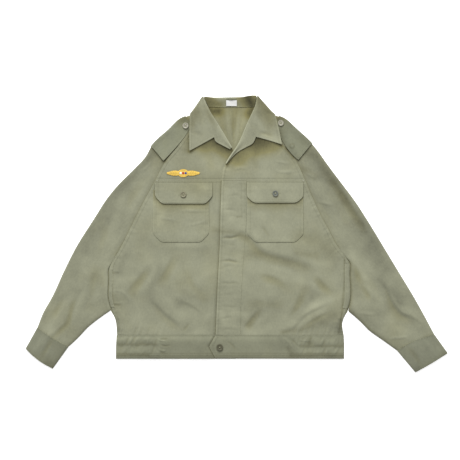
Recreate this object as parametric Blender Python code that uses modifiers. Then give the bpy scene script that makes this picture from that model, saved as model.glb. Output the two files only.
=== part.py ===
"""A waist-length service shirt laid flat on its back, fastened, with its sleeves spread.

Metres, +Z up, +X to the right and +Y towards the collar, as one looks down on it. Each piece of
cloth is a grid laid over the outline of its cut, lifted by a height function and thickened to a
wall. Sleeves and cuffs are tubes pressed flat. Outlines are given in pixels of the photograph.
"""

import math
from collections import namedtuple

import bmesh
import bpy
import numpy as np

# Scale of the outlines
PIXEL = 0.0024
MIDDLE = (236.7, 234.45)
MM = 0.001

# Cloth and the gaps between its pieces
WALL = 1.2 * MM
BAND_WALL = 1.6 * MM
TRIM_WALL = 1.0 * MM
GAP = 0.4 * MM

# Heights of the layers above the surface that the garment lies on
FRONT_TOP = 5.2 * MM
UNDERLAP_TOP = 3.6 * MM
SIDE_EDGE_TOP = 3.0 * MM
SLEEVE_TOP = 4.6 * MM
SLEEVE_SEAM_TOP = 3.3 * MM
CUFF_TOP = 5.8 * MM
BAND_TOP = 5.6 * MM
BAND_EDGE_TOP = 3.7 * MM
UNDERLAP_BAND_TOP = 3.6 * MM
FLY_RISE = 0.4 * MM
NECK_LIFT = 1.8 * MM
NECK_LIFT_ROWS = (141.0, 124.0)

# Rounded edges, and the slope from a sleeve's seam up to its level
SLEEVE_ROUND = 7.0 * MM
SIDE_ROUND = 8.0 * MM
SEAM_SLOPE = 14.0 * MM
CREASE_CALM = 20.0 * MM

# Collar leaves and lapels: the radius of their roll, how high they lie, and their raised points
ROLL = 3.0 * MM
LEAF_REST = 3.2 * MM
LEAF_EDGE_RISE = 1.6 * MM
POINT_SPAN = 24.0 * MM
LEAF_SLOPE_FROM = 0.45
LAPEL_SLOPE_FROM = 0.2
SHOULDER_FOLD = 0.12
FOLD_DEPTH = 0.16

# Buttons: radius, thickness and rim width
SMALL_BUTTON = (7.0 * MM, 2.6 * MM, 1.7 * MM)
WAIST_BUTTON = (8.0 * MM, 3.0 * MM, 2.0 * MM)

# Lines of the cut, as pixels of the photograph
RAGLAN = {
    "left": [(206, 102), (197, 118), (188, 133), (177.5, 147.5), (167, 160), (155, 182),
             (140, 210), (125, 240), (112, 262)],
    "right": [(255, 101), (268, 122), (282.4, 145), (293.2, 157), (303.4, 177.5), (313, 200),
              (320, 215), (328, 230), (335, 243), (345.5, 256.5)],
}
SIDE = {
    "left": [(112, 262), (109.6, 267), (109.2, 280), (109.2, 301), (112.2, 310.5), (117, 321),
             (117.7, 335)],
    "right": [(345.5, 256.5), (349.1, 262.5), (349.5, 275), (349.2, 303), (345.5, 313),
              (341.8, 323), (343.6, 335)],
}
OUTER = {
    "left": [(206, 102), (198, 110.5), (190.5, 115), (181.8, 118), (168.6, 129.8), (151.4, 146.2),
             (145.5, 156.5), (134, 169), (117.5, 185.5), (108, 197), (95, 217), (75, 249), (63, 273),
             (52, 297), (43, 313), (37.2, 327.6)],
    "right": [(255, 101), (265, 110.5), (274.6, 115.2), (282, 117.4), (297.4, 130), (311.4, 143),
              (318, 151), (328, 165), (340, 181), (355, 201), (370.5, 225), (385, 249), (399.5, 273),
              (414, 297), (423, 313), (434.5, 334.5)],
}
ARMPIT_EDGE = {
    "left": [(112, 262), (108.4, 269), (108.1, 280), (108.1, 300), (111, 310.2)],
    "right": [(345.5, 256.5), (350.2, 262.5), (350.6, 275), (350.4, 303), (348.4, 311.2)],
}
UNDERARM = {
    "left": [(111, 310.2), (98.5, 319), (87.9, 327.5), (78, 338), (68.4, 346.9)],
    "right": [(348.4, 311.2), (359.7, 321), (369.2, 330.6), (383, 340.5), (397.3, 350.8)],
}
CUFF_SEAM = {
    "left": [(68.4, 346.9), (54.1, 339.4), (37.2, 327.6)],
    "right": [(397.3, 350.8), (414, 341.2), (434.5, 334.5)],
}
CUFF_END = {
    "left": [(52.6, 368.9), (39.5, 361.3), (31.9, 355.1), (25.4, 348.6)],
    "right": [(415.5, 372.5), (431, 363.8), (448, 353.2)],
}
CUFF_SHIFT = {"left": (-0.2, 0.2), "right": (0.2, 0.25)}
NECK_EDGE = {
    "left": [(205.8, 103), (209.6, 112), (217.6, 125.6), (224, 135.2), (231.6, 148), (240, 163)],
    "right": [(226.2, 164), (228.8, 159.2), (238.4, 145), (248.2, 123.2), (251.5, 116.4),
              (254.4, 107.5), (255, 102)],
}
FLY_EDGE = [(215.7, 335), (217.6, 286.7), (219.9, 240), (221, 200), (222.4, 175),
            (223.6, 168.2), (226.2, 164)]
FLY_SEAM = [(240.3, 335), (240.6, 305), (243, 262), (246.2, 216), (246.3, 178)]
BACK_NECK_ROW = 106.0
YOKE_SEAM_ROW = 180.5
HEM_ROW = 335.0
HEM_CALM = 8.0

# Half the gap of an edge to edge seam, and the left front's edge and slope under the fly, in pixels
SEAM_HALF_GAP = 0.1
UNDERLAP = (240.0, 238.5)
UNDERLAP_RAMP = (9.0, 1.5)
FLY_RISE_SPAN = 6.0
FLY_RISE_ROWS = (166.0, 174.0)

# How the panels lap at the raglan seams, in pixels, and the rows where the lap ends
LAP = 0.45
LAP_ROWS = (232.0, 252.0)
SIDE_GAP = 0.2
BACK_INSET = (2.25, 0.7)

LEAF_ROLL = {
    "left": [(218.6, 124.6), (210.4, 111.4), (204.6, 97.6)],
    "right": [(247.5, 122.2), (250.7, 115.6), (255.2, 106), (256.4, 97.4)],
}
LEAF_OUTER = {
    "left": [(189.5, 151), (189.4, 132), (190, 113.8), (202.4, 96.6)],
    "right": [(282, 144.6), (278.8, 129), (275.2, 114.6), (258.8, 97.6)],
}
LEAF_LOWER = {
    "left": [(189.5, 151), (202, 144.2), (214.2, 137.4), (218.6, 124.6)],
    "right": [(282, 144.6), (269, 140.5), (256, 137), (247.5, 122.2)],
}
LAPEL_ROLL = {
    "left": [(232.2, 147.2), (224.8, 134.8), (219, 125.6)],
    "right": [(225.6, 163), (228, 158.8), (237.6, 144.4), (247.2, 123.6)],
}
LAPEL_OUTER = {
    "left": [(230.2, 149.4), (222, 145.2), (215, 140.6), (214.8, 138.2)],
    "right": [(226.6, 163.4), (237.6, 152.2), (246, 147.4), (253, 143.2), (255.2, 137.6)],
}
NECK_SEAM = [(208.8, 106.8), (229, 107.4), (254, 106.8)]
NECK_ROLL = [(205.2, 97.8), (229, 97.4), (254.6, 96.8)]
FALL_LOWER = [(191.6, 114.4), (206, 119.4), (229, 121), (256, 119.6), (273.6, 115)]
FALL_UPPER = [(203.6, 97.4), (229, 97), (256.2, 96.4)]

# Shoulder straps: the edge towards the chest, and the rows where the outer edge starts and ends
STRAP_FRONT = {
    "left": [(193, 123), (186, 134.4), (167.4, 156.4), (163.4, 160.6)],
    "right": [(274.6, 122), (283.4, 142), (294.2, 156.2), (298.3, 159.8)],
}
STRAP_ROWS = {"left": (116.6, 147.0), "right": (116.4, 143.8)}
STRAP_GAP = 0.8 * MM
STRAP_LEVEL = 0.72
STRAP_SEAT = 0.75

# Patch pockets and flaps: left, right, top, bottom, and the size of the cut corners
Pocket = namedtuple("Pocket", "left right top bottom corner_x corner_y")
POCKETS = {
    "left": Pocket(153.4, 208.6, 190.0, 242.0, 8.0, 8.4),
    "right": Pocket(247.6, 303.0, 190.0, 242.0, 7.8, 7.6),
}
FLAPS = {
    "left": Pocket(155.5, 212.0, 182.6, 203.5, 6.4, 7.0),
    "right": Pocket(247.2, 302.9, 182.4, 202.6, 6.6, 5.6),
}
FLAP_RAMP = 5.0
POCKET_LIFT = 0.4 * MM
FLAP_LIP = 1.2 * MM

# Side welts: top and bottom rows, and their width in pixels
WELTS = {"left": (266.0, 307.0, 3.3), "right": (264.0, 308.0, 4.6)}
WELT_LIFT = 0.6 * MM

# Waistband: its lines, the tab's point, and the stretches gathered by elastic
BAND_ROWS = (335.2, 358.9)
BAND_SIDE = {"left": [(116.4, 358.9), (116.8, 346), (117.4, 335.2)],
             "right": [(343.8, 358.9), (343.9, 346), (343.4, 335.2)]}
TAB = [(215.6, 358.6), (212, 352), (209.2, 346.6), (212, 341.6), (215.5, 335.2)]
BAND_LAP = 236.0
BAND_LAP_RAMP = (202.0, 208.0)
ELASTIC = {"left": (117.0, 158.0), "right": (300.0, 344.0)}
GATHER_PITCH = 3.6
GATHER_HEIGHT = 0.8 * MM
GATHER_FADE = (4.0, 6.0)
STEPS_A_GATHER = 4
BAND_EDGE_COLUMNS = np.array([1.2, 3.3])
LEAST_COLUMN = 0.35

# Small pieces
FLAP_BUTTONS = {"left": (183.4, 194.6), "right": (275.3, 193.5)}
STRAP_BUTTONS = {"left": (185.6, 125.8), "right": (280.8, 123.2)}
WAIST_BUTTON_AT = (219.7, 347.3)
PATCH_AT = (183.2, 173.2)
PATCH_HALF = (16.4, 1.0)
PATCH_BOSS = 4.4
PATCH_LEAF = 2.8
LABEL = (226.2, 236.8, 106.0, 100.4)
LOOP = (227.0, 236.0, 99.2)
LOOP_WIDTH = 1.2
LOOP_BOW = 2.0 * MM

# Creases and ridges: places in pixels, height and half width in millimetres
Crease = namedtuple("Crease", "start bend end height width")
BODY_CREASES = [
    Crease((151, 266), (140, 281), (128, 297), -1.8, 17),
    Crease((177, 255), (170, 268), (163, 280), -1.5, 16),
    Crease((150, 299), (165, 314), (181, 326), 2.0, 18),
    Crease((172, 298), (190, 305), (206, 321), 1.7, 17),
    Crease((252, 249), (276, 259), (314, 272), -2.1, 17),
    Crease((262, 262), (284, 270), (318, 284), 1.8, 20),
    Crease((258, 277), (275, 281), (288, 293), -1.6, 15),
    Crease((336, 298), (306, 312), (290, 328), 2.2, 19),
    Crease((304, 287), (299, 305), (289, 324), -1.6, 15),
    Crease((260, 308), (249, 320), (244, 329), -1.5, 13),
]
SLEEVE_CREASES = {
    "left": [
        Crease((112, 213), (104, 232), (92, 256), -1.2, 20),
        Crease((150, 190), (132, 214), (118, 236), 1.4, 24),
        Crease((73, 304), (68, 323), (52, 338), -1.2, 14),
        Crease((88, 284), (74, 306), (60, 322), 1.4, 18),
    ],
    "right": [
        Crease((321, 171), (345, 197), (363, 226), -1.2, 20),
        Crease((352, 235), (368, 262), (384, 290), 1.4, 22),
        Crease((385, 287), (395, 308), (426, 332), -1.2, 14),
        Crease((364, 288), (366, 296), (372, 302), -1.2, 12),
        Crease((359, 313), (368, 316), (384, 322), 1.2, 14),
    ],
}

# Columns and rows of each piece's grid
GRID = {
    "back": (8, 26), "front_left": (13, 20), "front_right": (12, 20), "fly": (3, 20),
    "yoke_left": (12, 8), "yoke_right": (13, 8), "sleeve": (17, 8), "cuff": (3, 4),
    "leaf": (7, 10), "lapel": (5, 7), "neck_band": (8, 4), "fall": (10, 3), "strap": (9, 4),
    "pocket": (8, 6), "flap": (9, 6), "welt": (3, 9), "band_back": (12, 2), "band": (9, 3),
    "patch": (16, 2), "label": (4, 4), "loop": (8, 1),
}
BUTTON_STEPS = 16

# Colours of the cloth and trim, in linear light
TWILL = (0.265, 0.275, 0.190, 1)
TWILL_DARK = (0.235, 0.245, 0.165, 1)
SHELL = (0.42, 0.42, 0.37, 1)
OLIVE = (0.085, 0.080, 0.055, 1)
GOLD = (0.72, 0.50, 0.08, 1)
WHITE = (0.86, 0.86, 0.86, 1)


# Lines and distances in the plan


def plan(points):
    """Places in metres, from pixels of the photograph."""
    points = np.asarray(points, float).reshape(-1, 2)
    return (points - MIDDLE) * (PIXEL, -PIXEL)


def pixels(xy):
    """Pixels of the photograph, from places in metres."""
    return xy / (PIXEL, -PIXEL) + MIDDLE


def run(line):
    """Distance along a line at each of its points."""
    steps = np.linalg.norm(np.diff(line, axis=0), axis=1)
    return np.concatenate([[0.0], np.cumsum(steps)])


def smooth(points, steps=10):
    """A smooth line through the points, as many short steps."""
    p = plan(points)
    s = run(p)
    slope = np.gradient(p, s, axis=0)
    rows = []
    for i in range(len(p) - 1):
        t = np.linspace(0, 1, steps, endpoint=False)[:, None]
        h = s[i + 1] - s[i]
        rows.append(
            (1 + 2 * t) * (1 - t) ** 2 * p[i]
            + t * (1 - t) ** 2 * h * slope[i]
            + t * t * (3 - 2 * t) * p[i + 1]
            + t * t * (t - 1) * h * slope[i + 1]
        )
    return np.concatenate(rows + [p[-1:]])


def joined(*lines):
    """Lines that meet end to end, as one."""
    rest = [line[1:] for line in lines[1:]]
    return np.concatenate([lines[0]] + rest)


def along(line, t):
    """Points at the fractions t of a line's length."""
    s = run(line)
    return np.stack([np.interp(t, s / s[-1], line[:, k]) for k in range(2)], axis=-1)


def rows_of(line, start, end):
    """The part of a line between two pixel rows, in that order."""
    y = pixels(line)[:, 1]
    if y[0] > y[-1]:
        line = line[::-1]
        y = y[::-1]
    s = run(line)
    low, high = np.interp([min(start, end), max(start, end)], y, s / s[-1])
    count = 2 + int(round((high - low) * len(line)))
    part = along(line, np.linspace(low, high, count))
    return part if start < end else part[::-1]


def moved(line, right):
    """A line moved to the right by so many pixels, the same all along or one value a point."""
    return line + np.stack([np.broadcast_to(right, len(line)) * PIXEL, np.zeros(len(line))], axis=1)


def patch(bottom, top, left, right):
    """Places inside four edges: bottom and top run to the right, left and right run upwards."""

    def place(u, v):
        b, t = along(bottom, u), along(top, u)
        a, c = along(left, v), along(right, v)
        u = u[:, None]
        v = v[:, None]
        corners = (
            (1 - u) * (1 - v) * bottom[0] + u * (1 - v) * bottom[-1]
            + (1 - u) * v * top[0] + u * v * top[-1]
        )
        return (1 - v) * b + v * t + (1 - u) * a + u * c - corners

    return place


def nearest(xy, line):
    """Distance from each place to a line, and how far along the line that is, from 0 to 1."""
    start = line[:-1]
    step = np.diff(line, axis=0)
    square = np.maximum((step ** 2).sum(axis=1), 1e-12)
    t = ((xy[:, None] - start) * step).sum(axis=2) / square
    t = np.clip(t, 0, 1)
    off = np.linalg.norm(xy[:, None] - start - t[..., None] * step, axis=2)
    best = off.argmin(axis=1)
    pick = np.arange(len(xy))
    s = run(line)
    reach = s[best] + t[pick, best] * (s[best + 1] - s[best])
    return off[pick, best], reach / s[-1]


def normals(line, side):
    """Unit directions square to a line: side 1 is to its left, side -1 to its right."""
    step = np.gradient(line, axis=0)
    step /= np.linalg.norm(step, axis=1)[:, None]
    return side * np.stack([-step[:, 1], step[:, 0]], axis=1)


# Height profiles


def ease(t):
    """From 0 to 1 with soft ends."""
    t = np.clip(t, 0, 1)
    return t * t * (3 - 2 * t)


def rounding(t):
    """A quarter circle, from 0 at an edge to 1 where the cloth lies level."""
    return np.sqrt(1 - (1 - np.clip(t, 0, 1)) ** 2)


def creased(xy, creases):
    """Height of soft troughs and ridges: deepest mid way, and fading at both ends."""
    z = np.zeros(len(xy))
    for crease in creases:
        off, t = nearest(xy, smooth([crease.start, crease.bend, crease.end], 6))
        across = np.clip(off / (crease.width * MM), 0, 1)
        z += crease.height * MM * (1 + np.cos(math.pi * across)) / 2 * ease(np.minimum(t, 1 - t) / 0.35)
    return z


def neck_lift(xy):
    """The rise over the collar's back fall, which lies under the neck."""
    low, high = NECK_LIFT_ROWS
    return NECK_LIFT * ease((low - pixels(xy)[:, 1]) / (low - high))


# Main lines of the cut

SEAM = {side: smooth(RAGLAN[side]) for side in RAGLAN}
SIDE_LINE = {side: smooth(SIDE[side]) for side in SIDE}
OUTER_LINE = {side: smooth(OUTER[side]) for side in OUTER}
ARMPIT_LINE = {side: smooth(ARMPIT_EDGE[side]) for side in ARMPIT_EDGE}
UNDERARM_LINE = {side: smooth(UNDERARM[side]) for side in UNDERARM}
UNDER_LINE = {side: joined(ARMPIT_LINE[side], UNDERARM_LINE[side]) for side in UNDERARM}
CUFF_LINE = {side: smooth(CUFF_SEAM[side]) for side in CUFF_SEAM}
FLY_LINE = joined(smooth(FLY_EDGE), smooth(NECK_EDGE["right"]))
TURN = {"left": 1, "right": -1}


def lapped_seam(side, lap, apart):
    """The raglan line moved towards the chest by lap, and by apart near the armpit."""
    line = SEAM[side]
    low = ease((pixels(line)[:, 1] - LAP_ROWS[0]) / (LAP_ROWS[1] - LAP_ROWS[0]))
    return moved(line, TURN[side] * (lap * (1 - low) + apart * low))


BODY_SEAM = {side: lapped_seam(side, -LAP, SIDE_GAP) for side in SEAM}
SLEEVE_SEAM = {side: lapped_seam(side, LAP, -SIDE_GAP) for side in SEAM}
BACK_SEAM = {side: lapped_seam(side, *BACK_INSET) for side in SEAM}


def side_reach(xy, side):
    """Distance in from the body's side edge, at the same height on the garment."""
    line = SIDE_LINE[side]
    edge = np.interp(-xy[:, 1], -line[:, 1], line[:, 0])
    return TURN[side] * (xy[:, 0] - edge)


def front_top(xy, side):
    """Top of a front panel."""
    row = pixels(xy)[:, 1]
    below_armpit = ease((row - LAP_ROWS[0]) / (LAP_ROWS[1] - LAP_ROWS[0]))
    edge = 1 - rounding(side_reach(xy, side) / SIDE_ROUND)
    drop = (FRONT_TOP - SIDE_EDGE_TOP) * edge * below_armpit
    calm = ease((HEM_ROW - row) / HEM_CALM)
    calm *= ease(side_reach(xy, side) / (2 * SIDE_ROUND) + 1 - below_armpit)
    height = FRONT_TOP + neck_lift(xy) - drop + creased(xy, BODY_CREASES) * calm
    if side == "left":
        start, end = UNDERLAP_RAMP
        before_fly = (np.interp(xy[:, 1], FLY_LINE[:, 1], FLY_LINE[:, 0]) - xy[:, 0]) / PIXEL
        under = ease((start - before_fly) / (start - end))
        height = height * (1 - under) + (UNDERLAP_TOP + neck_lift(xy)) * under
    return height


def sleeve_top(xy, side):
    """Top of a sleeve pressed flat: rounded at both edges, lower where the front laps it."""
    outer, _ = nearest(xy, OUTER_LINE[side])
    under, _ = nearest(xy, UNDER_LINE[side])
    seam, _ = nearest(xy, SEAM[side])
    edge = np.minimum(outer, under)
    top = SLEEVE_SEAM_TOP + (SLEEVE_TOP - SLEEVE_SEAM_TOP) * ease(seam / SEAM_SLOPE)
    calm = ease(edge / (3 * SLEEVE_ROUND)) * ease(seam / CREASE_CALM)
    middle = SLEEVE_TOP / 2
    height = middle + (top - middle) * rounding(edge / SLEEVE_ROUND)
    return height + neck_lift(xy) + creased(xy, SLEEVE_CREASES[side]) * calm


def sleeve_bottom(xy, side):
    """Underside of a sleeve: flat on the surface, rounded up at both edges."""
    outer, _ = nearest(xy, OUTER_LINE[side])
    under, _ = nearest(xy, UNDER_LINE[side])
    middle = SLEEVE_TOP / 2
    return neck_lift(xy) + middle * (1 - rounding(np.minimum(outer, under) / SLEEVE_ROUND))


# Making the objects


def fresh_collections():
    for thing in list(bpy.data.objects):
        bpy.data.objects.remove(thing, do_unlink=True)
    shirt = bpy.data.collections.new("service_shirt")
    bpy.context.scene.collection.children.link(shirt)
    return shirt


def finish_of(name, colour, roughness):
    material = bpy.data.materials.new(name)
    material.use_nodes = True
    shader = material.node_tree.nodes["Principled BSDF"]
    shader.inputs["Base Color"].default_value = colour
    shader.inputs["Roughness"].default_value = roughness
    return material


def thing_from(name, bm, finish, wall=0.0, outwards=False):
    """An object from a mesh, thickened below its face, or above it if outwards."""
    mesh = bpy.data.meshes.new(name)
    bm.to_mesh(mesh)
    bm.free()
    mesh.shade_smooth()
    mesh.set_sharp_from_angle(angle=math.radians(50))
    mesh.materials.append(finish)
    thing = bpy.data.objects.new(name, mesh)
    SHIRT.objects.link(thing)
    if wall:
        solidify = thing.modifiers.new("wall", "SOLIDIFY")
        solidify.thickness = wall
        solidify.offset = 1 if outwards else -1
    return thing


def grid_on(place, us, vs):
    """A grid whose points are place(u, v), u and v read from us and vs."""
    bm = bmesh.new()
    columns = len(us) - 1
    rows = len(vs) - 1
    bmesh.ops.create_grid(bm, x_segments=columns, y_segments=rows, size=1)
    spots = np.array([vert.co[:2] for vert in bm.verts])
    i = np.rint((spots[:, 0] + 1) / 2 * columns).astype(int)
    j = np.rint((spots[:, 1] + 1) / 2 * rows).astype(int)
    points = place(np.asarray(us)[i], np.asarray(vs)[j])
    for vert, point in zip(bm.verts, points):
        vert.co = point
    return bm


def sheet(name, place, us, vs, finish, wall=WALL, outwards=False):
    """A sheet of cloth whose face looks up."""
    bm = grid_on(place, us, vs)
    bm.normal_update()
    if sum(face.normal.z * face.calc_area() for face in bm.faces) < 0:
        bmesh.ops.reverse_faces(bm, faces=bm.faces)
    return thing_from(name, bm, finish, wall, outwards)


def raised(xy, z):
    return np.column_stack([xy, z])


def straight(start, end, points=9):
    """A straight line between two places, as points that a patch can follow."""
    return np.linspace(start, end, points)


def even(count):
    """Fractions from 0 to 1 in equal steps."""
    return np.linspace(0, 1, count + 1)


def near_edges(count, *close):
    """Fractions from 0 to 1 with extra ones close to both ends."""
    middle = np.linspace(close[-1], 1 - close[-1], count + 1)
    return np.unique(np.round(np.concatenate([[0], close, middle, 1 - np.array(close), [1]]), 6))


def near_start(count, *close):
    """Fractions from 0 to 1 with extra ones close to the start."""
    return np.unique(np.round(np.concatenate([[0], close, np.linspace(close[-1], 1, count + 1)]), 6))


def with_corners(line, count):
    """Fractions of a straight-sided line that include its corners."""
    s = run(line)
    marks = s / s[-1]
    parts = [
        np.linspace(a, b, max(1, int(round((b - a) * count))) + 1)
        for a, b in zip(marks[:-1], marks[1:])
    ]
    return np.unique(np.round(np.concatenate(parts), 6))


# Body panels


def body_edge(side, seam, start, end):
    """The side and raglan edges of a body panel as one line up the garment."""
    side_line = rows_of(SIDE_LINE[side], start, pixels(SIDE_LINE[side])[0, 1])
    seam_line = rows_of(seam, pixels(seam)[-1, 1], end)
    seam_line = seam_line + (side_line[-1] - seam_line[0]) * np.linspace(1, 0, len(seam_line))[:, None]
    return joined(side_line, seam_line)


def make_back():
    left = body_edge("left", BACK_SEAM["left"], HEM_ROW, BACK_NECK_ROW)
    right = body_edge("right", BACK_SEAM["right"], HEM_ROW, BACK_NECK_ROW)
    spread = patch(straight(left[0], right[0]), straight(left[-1], right[-1]), left, right)

    def place(u, v):
        xy = spread(u, v)
        return raised(xy, neck_lift(xy))

    columns, rows = GRID["back"]
    sheet("back", place, even(columns), even(rows), TWILL_FINISH, outwards=True)


def make_lower_fronts():
    top = YOKE_SEAM_ROW + SEAM_HALF_GAP
    left = body_edge("left", BODY_SEAM["left"], HEM_ROW, top)
    under_edge = plan([(UNDERLAP[1], HEM_ROW), (UNDERLAP[0], top)])
    spread = patch(straight(left[0], under_edge[0]), straight(left[-1], under_edge[-1]), left, under_edge)

    def place_left(u, v):
        xy = spread(u, v)
        return raised(xy, front_top(xy, "left"))

    columns, rows = GRID["front_left"]
    sheet("front_left", place_left, near_start(columns, 0.011, 0.03), even(rows), TWILL_FINISH)

    right = body_edge("right", BODY_SEAM["right"], HEM_ROW, top)
    seam = moved(rows_of(smooth(FLY_SEAM), HEM_ROW, top), SEAM_HALF_GAP)
    spread_right = patch(straight(seam[0], right[0]), straight(seam[-1], right[-1]), seam, right)

    def place_right(u, v):
        xy = spread_right(u, v)
        return raised(xy, front_top(xy, "right"))

    columns, rows = GRID["front_right"]
    us = 1 - near_start(columns, 0.012, 0.034)[::-1]
    sheet("front_right", place_right, us, even(rows), TWILL_FINISH)


def make_fly():
    top = YOKE_SEAM_ROW + SEAM_HALF_GAP
    edge = rows_of(smooth(FLY_EDGE), HEM_ROW, top)
    seam = moved(rows_of(smooth(FLY_SEAM), HEM_ROW, top), -SEAM_HALF_GAP)
    spread = patch(straight(edge[0], seam[0]), straight(edge[-1], seam[-1]), edge, seam)

    def place(u, v):
        xy = spread(u, v)
        return raised(xy, front_top(xy, "right") + FLY_RISE)

    columns, rows = GRID["fly"]
    sheet("fly_placket", place, even(columns), even(rows), TWILL_FINISH)


def make_yokes():
    low = YOKE_SEAM_ROW - SEAM_HALF_GAP
    edge = rows_of(BODY_SEAM["left"], low, NECK_EDGE["left"][0][1])
    neck = smooth(NECK_EDGE["left"])
    neck = neck + (edge[-1] - neck[0]) * np.linspace(1, 0, len(neck))[:, None] ** 3
    end = plan([(UNDERLAP[0], low), NECK_EDGE["left"][-1]])
    spread = patch(straight(edge[0], end[0]), neck, edge, end)

    def place_left(u, v):
        xy = spread(u, v)
        return raised(xy, front_top(xy, "left"))

    columns, rows = GRID["yoke_left"]
    sheet("yoke_left", place_left, even(columns), even(rows), TWILL_FINISH)

    edge_right = rows_of(BODY_SEAM["right"], low, NECK_EDGE["right"][-1][1])
    neck_right = smooth(NECK_EDGE["right"])
    fade = np.linspace(0, 1, len(neck_right))[:, None] ** 3
    neck_right = neck_right + (edge_right[-1] - neck_right[-1]) * fade
    fly = rows_of(smooth(FLY_EDGE), low, NECK_EDGE["right"][0][1])
    fly[-1] = neck_right[0]
    spread_right = patch(straight(fly[0], edge_right[0]), neck_right, fly, edge_right)
    high, full = FLY_RISE_ROWS

    def place_right(u, v):
        xy = spread_right(u, v)
        spots = pixels(xy)
        fly_side = ease((FLY_SEAM[-1][0] - spots[:, 0]) / FLY_RISE_SPAN)
        fly_side *= ease((spots[:, 1] - high) / (full - high))
        return raised(xy, front_top(xy, "right") + FLY_RISE * fly_side)

    columns, rows = GRID["yoke_right"]
    sheet("yoke_right", place_right, even(columns), even(rows), TWILL_FINISH)


# Sleeves and cuffs


def tube(name, place_top, place_bottom, us, across, finish, wall, turned):
    """A tube pressed flat. Its ring runs over the top from v 0 to 1, and back below."""
    ring = np.concatenate([across, 2 - across[::-1][1:]])

    def place(u, w):
        top = w <= 1
        points = place_bottom(u, np.where(top, w, 2 - w))
        points[top] = place_top(u[top], w[top])
        return points

    bm = grid_on(place, us, ring)
    bmesh.ops.remove_doubles(bm, verts=bm.verts, dist=0.01 * MM)
    if turned:
        bmesh.ops.reverse_faces(bm, faces=bm.faces)
    return thing_from(name, bm, finish, wall)


def make_sleeve(side):
    seam = SLEEVE_SEAM[side][::-1]
    outer = OUTER_LINE[side]
    seam = seam + (outer[0] - seam[-1]) * np.clip(run(seam) / run(seam)[-1] * 8 - 7, 0, 1)[:, None]
    armpit = ARMPIT_LINE[side][::-1]
    seam = seam + (armpit[-1] - seam[0]) * np.clip(1 - run(seam) / (10 * MM), 0, 1)[:, None]
    opening = joined(armpit, seam)
    spread = patch(UNDERARM_LINE[side], outer, opening, CUFF_LINE[side])
    corner = run(armpit)[-1] / run(opening)[-1]

    def place_top(u, v):
        xy = spread(u, v)
        return raised(xy, sleeve_top(xy, side))

    def place_bottom(u, v):
        xy = spread(u, v)
        return raised(xy, sleeve_bottom(xy, side))

    columns, rows = GRID["sleeve"]
    armpit_rows = corner * np.array([0, 0.1, 0.5, 0.86, 1])
    across = np.concatenate([armpit_rows, np.linspace(corner, 0.95, rows)[1:], [0.986, 1]])
    tube("sleeve_" + side, place_top, place_bottom, even(columns), across, TWILL_FINISH, WALL,
         side == "left")


def make_cuff(side):
    seam = CUFF_LINE[side] + np.array(CUFF_SHIFT[side]) * (PIXEL, -PIXEL)
    end = smooth(CUFF_END[side])
    spread = patch(straight(seam[0], end[0]), straight(seam[-1], end[-1]), seam, end)
    edges = [np.stack([seam[0], end[0]]), np.stack([seam[-1], end[-1]])]

    def reach(xy):
        return np.minimum(nearest(xy, edges[0])[0], nearest(xy, edges[1])[0])

    middle = CUFF_TOP / 2

    def place_top(u, v):
        xy = spread(u, v)
        return raised(xy, middle + middle * rounding(reach(xy) / SLEEVE_ROUND))

    def place_bottom(u, v):
        xy = spread(u, v)
        return raised(xy, middle - middle * rounding(reach(xy) / SLEEVE_ROUND))

    columns, rows = GRID["cuff"]
    tube("cuff_" + side, place_top, place_bottom, even(columns), near_edges(rows, 0.025, 0.09),
         TWILL_FINISH, BAND_WALL, side == "left")


# Collar


ROLL_TURNS = 1 + np.array([0.1, 0.2, 0.3, 0.4, 0.5])


def rolled(name, roll, outer, lower, upper, height, us, vs, way):
    """A leaf whose edge rolls under along the neck. Above u 1 the cloth goes round the roll."""
    facing = normals(roll, way)
    inside = roll - facing * ROLL
    spread = patch(lower(inside), upper(inside), outer, inside)

    def place(u, v):
        flat = np.clip(u, 0, 1)
        turn = np.clip(u - 1, 0, None) * 2 * math.pi
        xy = spread(flat, v)
        s = run(roll) / run(roll)[-1]
        out = np.stack([np.interp(v, s, facing[:, k]) for k in range(2)], axis=1)
        xy = xy + out * (ROLL * np.sin(turn))[:, None]
        z = height(xy, flat, v) - ROLL * (1 - np.cos(turn))
        return raised(xy, z)

    sheet(name, place, us, vs, TWILL_FINISH)


def make_leaf(side):
    roll = smooth(LEAF_ROLL[side])
    outer = joined(smooth(LEAF_OUTER[side][:3]), plan(LEAF_OUTER[side][2:]))
    shoulder = run(plan(LEAF_OUTER[side]))
    fold_starts = shoulder[-2] / shoulder[-1]

    def lower(inside):
        line = joined(smooth(LEAF_LOWER[side][:3]), plan(LEAF_LOWER[side][2:]))
        return np.concatenate([line[:-1], inside[:1]])

    def upper(inside):
        return straight(outer[-1], inside[-1])

    def height(xy, flat, v):
        base = FRONT_TOP + neck_lift(xy)
        near_roll = ease((flat - LEAF_SLOPE_FROM) / (1 - LEAF_SLOPE_FROM))
        level = LEAF_REST + (GAP + 2 * ROLL - LEAF_REST) * near_roll
        tip = np.linalg.norm(xy - plan(LEAF_OUTER[side][0]), axis=1)
        rise = LEAF_EDGE_RISE * ease(1 - tip / POINT_SPAN)
        folded = ease((v - fold_starts) / SHOULDER_FOLD)
        wrap = (base + level - SIDE_EDGE_TOP) * folded * (1 - rounding(flat / FOLD_DEPTH))
        return base + level + rise - wrap

    columns, rows = GRID["leaf"]
    us = np.concatenate([[0, 0.05, 0.16], np.linspace(0.28, 1, columns), ROLL_TURNS])
    rolled("collar_leaf_" + side, roll, outer, lower, upper, height, us, even(rows), -TURN[side])


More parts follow.
